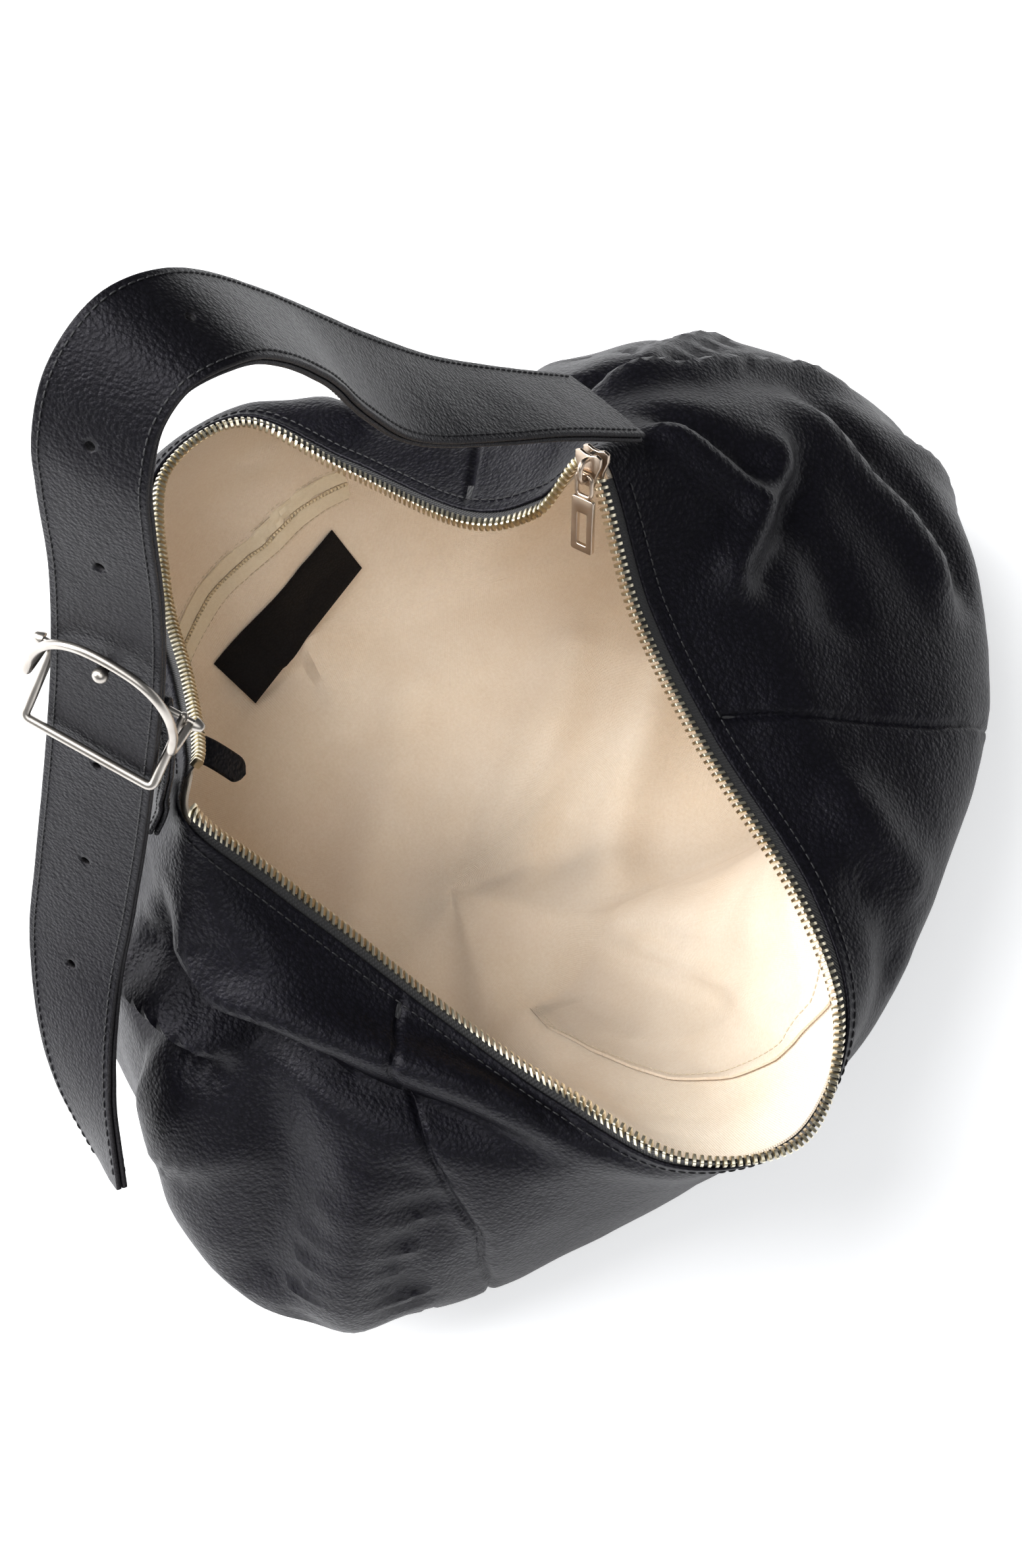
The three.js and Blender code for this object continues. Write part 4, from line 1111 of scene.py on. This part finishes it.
def strap_layer(name, low, high, dome, nodes):
    at = np.linspace(0, STRAP_END, 300)
    middle, _, across, out = strap_frame(at)
    outline = strap_section(low, high, dome)
    rings = np.array([middle + across * side + out * lift for side, lift in outline]).transpose(1, 0, 2)
    wear = 0.12 * rough(rings, 9, 31)[..., None] * out[:, None]
    piece = swept(name, rings + wear, STRAP_LEATHER)
    piece.data.materials.append(EDGE_PAINT)
    half = STRAP_WIDTH / 2
    size = len(outline)
    edge_columns = {j for j, (side, _) in enumerate(outline) if abs(side) > half - 0.75}
    for polygon in piece.data.polygons:
        if all((v % size) in edge_columns for v in polygon.vertices):
            polygon.material_index = 1
    cutter = hole_cutter()
    cut = piece.modifiers.new("holes", "BOOLEAN")
    cut.object = cutter
    cut.solver = "EXACT"
    cut.operation = "DIFFERENCE"
    apply_modifiers(piece)
    bpy.data.objects.remove(cutter)
    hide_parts(*nodes)
    return strap_blend(piece)


BACK_TOP = -STRAP_LAYER - LAYER_GAP
BACK_FOOT = BACK_TOP - STRAP_LAYER
FACE_DOME = 0.35
strap_layer("strap_face_leather", -STRAP_LAYER, 0.0, FACE_DOME, ["strap_face", "strap_face_sewn_end"])
strap_layer("strap_back_leather", BACK_FOOT, BACK_TOP, 0.0, ["strap_back", "strap_back_sewn_end"])

STITCH_INSET = 2.6
for face_name, lift, turn in (("face", 0.12, 1), ("back", BACK_FOOT, -1)):
    for edge_name, edge_side in (("inner", 1), ("outer", -1)):
        stitch_at = np.linspace(2, STRAP_END - 2, 640)
        row_points = strap_point(stitch_at, edge_side * (STRAP_WIDTH / 2 - STITCH_INSET), lift)
        row_normals = strap_frame(stitch_at)[3] * turn
        row = stitches(f"strap_stitches_{face_name}_{edge_name}", row_points, row_normals, **STRAP_STITCH)
        strap_blend(row)


# ---- buckle ----
BUCKLE_SKEW = 0.1
RING_HALF = 23.0
PLATE_HALF = 25.7
RING_REACH = 24.0
WIRE_RADIUS = 1.5
grip_mid, grip_along, grip_across, grip_out = (value[0] for value in strap_frame([BAR_AT]))
BUCKLE_ALONG = grip_along * math.cos(BUCKLE_SKEW) - grip_across * math.sin(BUCKLE_SKEW)
BUCKLE_ACROSS = grip_across * math.cos(BUCKLE_SKEW) + grip_along * math.sin(BUCKLE_SKEW)


def buckle(down, side, out):
    """Point by the buckle: down the strap, across it, and out from its face."""
    return grip_mid + BUCKLE_ALONG * down + BUCKLE_ACROSS * side + grip_out * out


def rounded_run(corners, radius, closed=False):
    """Corners joined by straight lengths, each corner rounded by an arc."""
    corners = [np.asarray(c, float) for c in corners]
    count = len(corners)
    found = []
    for i, corner in enumerate(corners):
        if not closed and i in (0, count - 1):
            found.append(corner)
            continue
        before = corners[i - 1] - corner
        after = corners[(i + 1) % count] - corner
        cut = min(radius, 0.45 * np.linalg.norm(before), 0.45 * np.linalg.norm(after))
        start = corner + unit(before) * cut
        end = corner + unit(after) * cut
        for t in np.linspace(0, 1, 7):
            found.append(start * (1 - t) ** 2 + corner * 2 * t * (1 - t) + end * t * t)
    return np.array(found)


def spread(points, spacing, closed=False):
    """Points at even spacing along straight lengths."""
    points = np.asarray(points, float)
    if closed:
        points = np.concatenate([points, points[:1]])
    at = run_lengths(points)
    number = max(2, int(at[-1] / spacing))
    found = along_run(np.linspace(0, at[-1], number + 1), at, points)
    return found[:-1] if closed else found


def buckle_ring():
    """Rectangular ring that the strap's tail passes through."""
    corners = [
        buckle(-1.0, -RING_HALF, -BAR_DEPTH), buckle(RING_REACH - 4, -RING_HALF, 0.2),
        buckle(RING_REACH, -RING_HALF, 2.8), buckle(RING_REACH, RING_HALF, 2.8),
        buckle(RING_REACH - 4, RING_HALF, 0.2), buckle(-1.0, RING_HALF, -BAR_DEPTH),
    ]
    path = spread(rounded_run(corners, 4.5), 0.8)
    piece = tube("buckle_ring_metal", path, WIRE_RADIUS, NICKEL, sides=16)
    return settle(piece, "strap_loop", "hardware", "buckle_ring")


def buckle_arch():
    """Half-round keeper that bows over the strap above the stud."""
    half = []
    for angle in np.linspace(0, math.pi, 15):
        down = 1.0 - 31.5 * math.sin(angle) ** 0.9
        side = -PLATE_HALF * math.copysign(abs(math.cos(angle)) ** 0.8, math.cos(angle))
        out = 1.6 + 3.8 * math.sin(angle)
        half.append(buckle(down, side, out))
    ends = [buckle(0.6, -PLATE_HALF, -BAR_DEPTH + 1), buckle(0.6, PLATE_HALF, -BAR_DEPTH + 1)]
    path = resample([ends[0], *half, ends[1]], 0.8)
    piece = tube("buckle_arch_metal", path, WIRE_RADIUS, NICKEL, sides=16)
    return settle(piece, "strap_loop", "hardware", "buckle_arch")


BAR_PROFILE = [
    (-29.0, 1.7), (-27.6, 2.3), (-26.9, 2.3), (-26.7, 1.2),
    (26.7, 1.2), (26.9, 2.3), (27.6, 2.3), (29.0, 1.7),
]


def buckle_bar():
    """Pivot bar with a plain round head at each end."""
    points = [buckle(0, side, -BAR_DEPTH) for side, _ in BAR_PROFILE]
    piece = tube("buckle_bar_metal", points, [radius for _, radius in BAR_PROFILE], NICKEL, sides=20)
    return settle(piece, "strap_loop", "hardware", "buckle_bar")


# Stud: distance along its axis, then radius.
STUD_PROFILE = [
    (-4.4, 0.1), (-4.4, 1.9), (-4.1, 2.1), (-3.9, 1.3), (0.3, 1.2), (0.8, 1.3), (1.2, 1.9), (1.7, 2.35),
    (2.6, 2.65), (3.5, 2.55), (4.3, 2.1), (4.9, 1.3), (5.2, 0.5), (5.25, 0.1),
]
STUD_SIDES = 24


def stud():
    centre, _, _, out = (value[0] for value in strap_frame([STUD_AT]))
    side = unit(np.cross(out, [0.3, 0.9, 0.2]))
    up = np.cross(out, side)
    angles = np.linspace(0, 2 * math.pi, STUD_SIDES, endpoint=False)
    rings = []
    for along, radius in STUD_PROFILE:
        spot = centre + out * along
        rings.append([spot + radius * (math.cos(a) * side + math.sin(a) * up) for a in angles])
    return settle(swept("stud_metal", rings, NICKEL), "strap_loop", "hardware", "stud")


buckle_ring()
buckle_arch()
buckle_bar()
stud()


def flat_strip(name, middles, acrosses, outs, width, thick, material, round_tip=False):
    """Leather strip with rounded edges along a run of frames. round_tip narrows its last end."""
    rings = []
    at = run_lengths(middles)
    for k in range(len(middles)):
        half = width / 2
        if round_tip:
            left = min(at[-1] - at[k], half)
            half = max(0.25, math.sqrt(max(half * half - (half - left) ** 2, 0.0)))
        radius = min(thick / 2, half * 0.5)
        outline = []
        for way, angles in ((1, (50, 0, -50)), (-1, (230, 180, 130))):
            for side in np.linspace(-half + radius, half - radius, 7):
                outline.append((side * way, thick / 2 * way))
            for angle in np.radians(angles):
                edge = (half - radius) * way + radius * math.cos(angle)
                outline.append((edge, thick / 2 * math.sin(angle)))
        rings.append([middles[k] + acrosses[k] * side + outs[k] * lift for side, lift in outline])
    return swept(name, rings, material)


SHORT_WIDTH = 35.0
SHORT_THICK = 1.8
SHORT_PATH = [
    (buckle(0, 0, -BAR_DEPTH), BUCKLE_ACROSS),
    (np.array([-97.5, 17.5, 275]), np.array([0.16, -0.98, 0.06])),
    (np.array([-95.5, 16.5, 249]), np.array([-0.14, -0.95, 0.24])),
    (np.array([-92.5, 16, 226]), np.array([-0.45, -0.77, 0.45])),
    (np.array([-95.5, 16.5, 210]), np.array([-0.57, -0.65, 0.51])),
]


def short_strap():
    """Band folded round the bar; its two halves lie together and run down to the tip of the mouth."""
    middle = resample([row[0] for row in SHORT_PATH], 2.0)
    share = np.linspace(0, len(SHORT_PATH) - 1, len(middle))
    across = unit(along_run(share, range(len(SHORT_PATH)), np.array([row[1] for row in SHORT_PATH])))
    along = unit(np.gradient(middle, axis=0))
    out = unit(np.cross(along, across))
    fall = np.linalg.norm(middle - middle[0], axis=1)
    gap = 1.05 + 1.7 * np.exp(-((fall / 7.0) ** 2))
    middles = []
    outs = []
    acrosses = []
    for k in range(len(middle) - 1, 0, -1):
        middles.append(middle[k] + out[k] * gap[k])
        outs.append(out[k])
        acrosses.append(across[k])
    for angle in np.linspace(0, math.pi, 15):
        spoke = out[0] * math.cos(angle) - along[0] * math.sin(angle)
        middles.append(middle[0] + spoke * 2.75)
        outs.append(spoke)
        acrosses.append(across[0])
    for k in range(1, len(middle)):
        middles.append(middle[k] - out[k] * gap[k])
        outs.append(-out[k])
        acrosses.append(across[k])
    middles = np.array(middles)
    piece = flat_strip(
        "short_strap_leather", middles, acrosses, outs, SHORT_WIDTH, SHORT_THICK, STRAP_LEATHER)
    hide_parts("short_strap", "short_strap_sewn_outer", "short_strap_sewn_inner")
    pieces = [piece]
    half = SHORT_WIDTH / 2 - STITCH_INSET
    outer_run = len(middle) - 3
    for edge_name, side in (("inner", half), ("outer", -half)):
        for face_name, run in (("near", slice(0, outer_run)), ("far", slice(-outer_run, None))):
            facing = np.array(outs[run])
            line = middles[run] + np.array(acrosses[run]) * side + facing * (SHORT_THICK / 2)
            row = stitches(f"short_strap_stitches_{face_name}_{edge_name}", line, facing, **STRAP_STITCH)
            pieces.append(row)
    for made in pieces:
        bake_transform(made)


short_strap()


TAB_DEPTH = 5.4
TAB_WIDTH = 18
TAB_THICK = 1.4


def stud_tab():
    at = np.linspace(STUD_AT - 11, BAR_AT + 6, 16)
    middle, _, across, out = strap_frame(at)
    middle = middle - out * TAB_DEPTH
    piece = flat_strip(
        "stud_tab_leather", middle[::-1], across[::-1], out[::-1], TAB_WIDTH, TAB_THICK, STRAP_LEATHER, True)
    return settle(piece, "strap_loop", "leather", "stud_tab")


stud_tab()

# ---- main slider and pull ----
SLIDER_AT = np.array([90.0, -2.0, 226.0])
SLIDER_ALONG = unit(np.array([-0.36, -0.34, -0.87]))
SLIDER_ACROSS = unit(np.array([0.0, -1.0, 0.0]) + SLIDER_ALONG * SLIDER_ALONG[1])
SLIDER_OUT = np.cross(SLIDER_ALONG, SLIDER_ACROSS)


def slider_point(origin, along, across, out):
    return origin + SLIDER_ALONG * along + SLIDER_ACROSS * across + SLIDER_OUT * out


def plate(name, origin, outline, low, high, material, window=None, soften=0.35):
    """Flat metal plate with softened edges, and an optional window, in the slider's frame."""
    work = bmesh.new()
    top = [work.verts.new(metres(slider_point(origin, a, b, high))) for a, b in outline]
    if window is None:
        work.faces.new(top)
    else:
        inner = [work.verts.new(metres(slider_point(origin, a, b, high))) for a, b in window]
        count = len(outline)
        for j in range(count):
            m = (j + 1) % count
            work.faces.new([top[j], top[m], inner[m], inner[j]])
    made = bmesh.ops.extrude_face_region(work, geom=work.faces[:])
    moved = [item for item in made["geom"] if isinstance(item, bmesh.types.BMVert)]
    shift = Vector(SLIDER_OUT * (low - high) * MILLI)
    bmesh.ops.translate(work, verts=moved, vec=shift)
    bmesh.ops.recalc_face_normals(work, faces=work.faces)
    sharp = [edge for edge in work.edges if len(edge.link_faces) == 2 and edge.calc_face_angle() > 0.8]
    bmesh.ops.bevel(work, geom=sharp, offset=soften * MILLI, segments=2, profile=0.7, affect="EDGES")
    mesh = bpy.data.meshes.new(name)
    work.to_mesh(mesh)
    work.free()
    mesh.polygons.foreach_set("use_smooth", [True] * len(mesh.polygons))
    mesh.materials.append(material)
    piece = bpy.data.objects.new(name, mesh)
    add_to_scene(piece)
    return piece


CORNER_STEPS = 4


def ring_outline(along, across, centre, corner):
    """Rounded rectangle as a list of (along, across)."""
    found = []
    for sa, sb, first in ((1, 1, 0), (-1, 1, 90), (-1, -1, 180), (1, -1, 270)):
        for k in range(CORNER_STEPS + 1):
            angle = math.radians(first + 90 * k / CORNER_STEPS)
            a = sa * (along / 2 - corner) + corner * math.cos(angle)
            b = sb * (across / 2 - corner) + corner * math.sin(angle)
            found.append((centre + a, b))
    return found


def slider():
    """Slider body: two shield-shaped plates, the wedge between them, and the bridge over the top."""
    shield = [(6.5, 2.6), (6.5, -2.6), (2.0, -3.6), (-2.5, -5.5), (-5.6, -5.5), (-6.5, -3.6), (-5.6, -1.2),
              (-5.6, 1.2), (-6.5, 3.6), (-5.6, 5.5), (-2.5, 5.5), (2.0, 3.6)]
    pieces = [plate("slider_front_plate", SLIDER_AT, shield, 1.4, 2.7, SLIDER_BRASS)]
    pieces.append(plate("slider_back_plate", SLIDER_AT, shield, -2.7, -1.4, SLIDER_BRASS))
    wedge = [(-5.4, 1.0), (-5.4, -1.0), (-1.5, -1.4), (0.5, 0.0), (-1.5, 1.4)]
    pieces.append(plate("slider_wedge", SLIDER_AT, wedge, -1.5, 1.5, SLIDER_BRASS, soften=0.15))
    corners = [(-4, 2.2), (-4, 5.2), (-2.3, 6.5), (2.3, 6.5), (4, 5.2), (4, 2.2)]
    path = [slider_point(SLIDER_AT, a, 0, out) for a, out in corners]
    pieces.append(tube("slider_bridge", spread(rounded_run(path, 1.6), 0.5), 1.0, SLIDER_BRASS, sides=12))
    for piece in pieces:
        settle(piece, "bag", "zip_metal")
    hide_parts("zip_slider")


def pull():
    """Oblong wire link and the framed pull that hangs from it."""
    link = [(-0.2, -3.2), (8.2, -3.2), (8.2, 3.2), (-0.2, 3.2)]
    corners = [slider_point(PULL_AT, a, b, 0) for a, b in link]
    path = spread(rounded_run(corners, 2.0, True), 0.6, True)
    piece = tube("pull_link_metal", path, 0.8, SLIDER_BRASS, closed=True, sides=10)
    settle(piece, "zip_pull", "zip_metal", "zip_pull_link")
    frame_outline = ring_outline(21, 9.2, 19.4, 1.0)
    window = ring_outline(12.5, 4.2, 21.0, 0.5)
    piece = plate("pull_tab_metal", PULL_AT, frame_outline, -0.8, 0.8, SLIDER_BRASS, window, 0.3)
    settle(piece, "zip_pull", "zip_metal", "zip_pull_tab")


slider()
pull()


TAB_ACROSS = np.array([1.0, 0.55, 0.2])


def zip_end_tab():
    """Leather tab over the closed end of the zip, hanging a little way into the bag."""
    middle = resample([(-69.5, 25, 203), (-66.5, 21, 199), (-63.5, 17, 193), (-60.5, 13, 186)], 1.0)
    along = unit(np.gradient(middle, axis=0))
    across = TAB_ACROSS - along * (along @ TAB_ACROSS)[:, None]
    across = unit(across)
    out = np.cross(along, across)
    piece = flat_strip("zip_end_tab_leather", middle, across, out, 9.5, 2.2, STRAP_LEATHER, True)
    return settle(piece, "bag", "leather", "zip_end_tab")


zip_end_tab()


# ---- floor, light and camera ----
FLOOR_HALF = 3.0
FLOOR_DROP = -0.0002


def floor():
    look = Look("pale_floor")
    speck = look.noise(14.0, 3.0)
    colour = look.ramp(speck, (0.86, 0.87, 0.89), (0.90, 0.905, 0.92))
    white = (1.0, 1.0, 1.0, 1)
    material = look.finish(colour, look.range(speck, 0.7, 0.85), Emission_Color=white, Emission_Strength=0.5)
    corners = [(x * FLOOR_HALF, y * FLOOR_HALF, 0) for x, y in ((-1, -1), (1, -1), (1, 1), (-1, 1))]
    mesh = bpy.data.meshes.new("floor")
    mesh.from_pydata(corners, [], [(0, 1, 2, 3)])
    mesh.materials.append(material)
    made = bpy.data.objects.new("floor", mesh)
    made.location = (0, 0, FLOOR_DROP)
    add_to_scene(made)


LIGHT_TARGET = (0.0, 0.0, 0.12)
# Name, place, size, power and colour of each light.
LIGHTS = [
    ("window", (-1.25, 1.6, 1.2), 1.7, 95, (1.0, 0.995, 0.985)),
    ("overhead", (-0.8, 0.6, 2.4), 1.6, 50, (1.0, 1.0, 1.0)),
    ("front_fill", (-1.1, -1.2, 2.3), 2.0, 26, (0.98, 0.99, 1.0)),
]


def area_light(name, place, size, power, colour):
    data = bpy.data.lights.new(name, "AREA")
    data.shape = "DISK"
    data.size = size
    data.energy = power
    data.color = colour
    lamp = bpy.data.objects.new(name, data)
    lamp.location = place
    lamp.rotation_euler = (Vector(LIGHT_TARGET) - Vector(place)).to_track_quat("-Z", "Y").to_euler()
    add_to_scene(lamp)


def studio():
    world = bpy.data.worlds.new("studio")
    world.use_nodes = True
    sky = world.node_tree.nodes["Background"]
    sky.inputs["Color"].default_value = (0.95, 0.97, 1.0, 1)
    sky.inputs["Strength"].default_value = 0.16
    bpy.context.scene.world = world
    for light in LIGHTS:
        area_light(*light)
    scene = bpy.context.scene
    scene.view_settings.view_transform = "Standard"
    scene.view_settings.look = "None"
    scene.view_settings.exposure = 0.0


CAMERA_AZIMUTH = -44.9
CAMERA_ELEVATION = 65.0
CAMERA_DISTANCE = 1400.0
CAMERA_TARGET = np.array([12.35, -41.1, 150.0])
CAMERA_LENS = 93.2


def camera():
    azimuth = math.radians(CAMERA_AZIMUTH)
    elevation = math.radians(CAMERA_ELEVATION)
    level = math.cos(elevation)
    back = np.array([math.sin(azimuth) * level, -math.cos(azimuth) * level, math.sin(elevation)])
    data = bpy.data.cameras.new("camera")
    data.lens = CAMERA_LENS
    data.sensor_width = 36.0
    data.clip_start = 0.05
    data.clip_end = 20.0
    made = bpy.data.objects.new("camera", data)
    made.location = metres(CAMERA_TARGET + back * CAMERA_DISTANCE).tolist()
    made.rotation_mode = "QUATERNION"
    made.rotation_quaternion = Vector((-back).tolist()).to_track_quat("-Z", "Y")
    add_to_scene(made)
    bpy.context.scene.camera = made


floor()
studio()
camera()
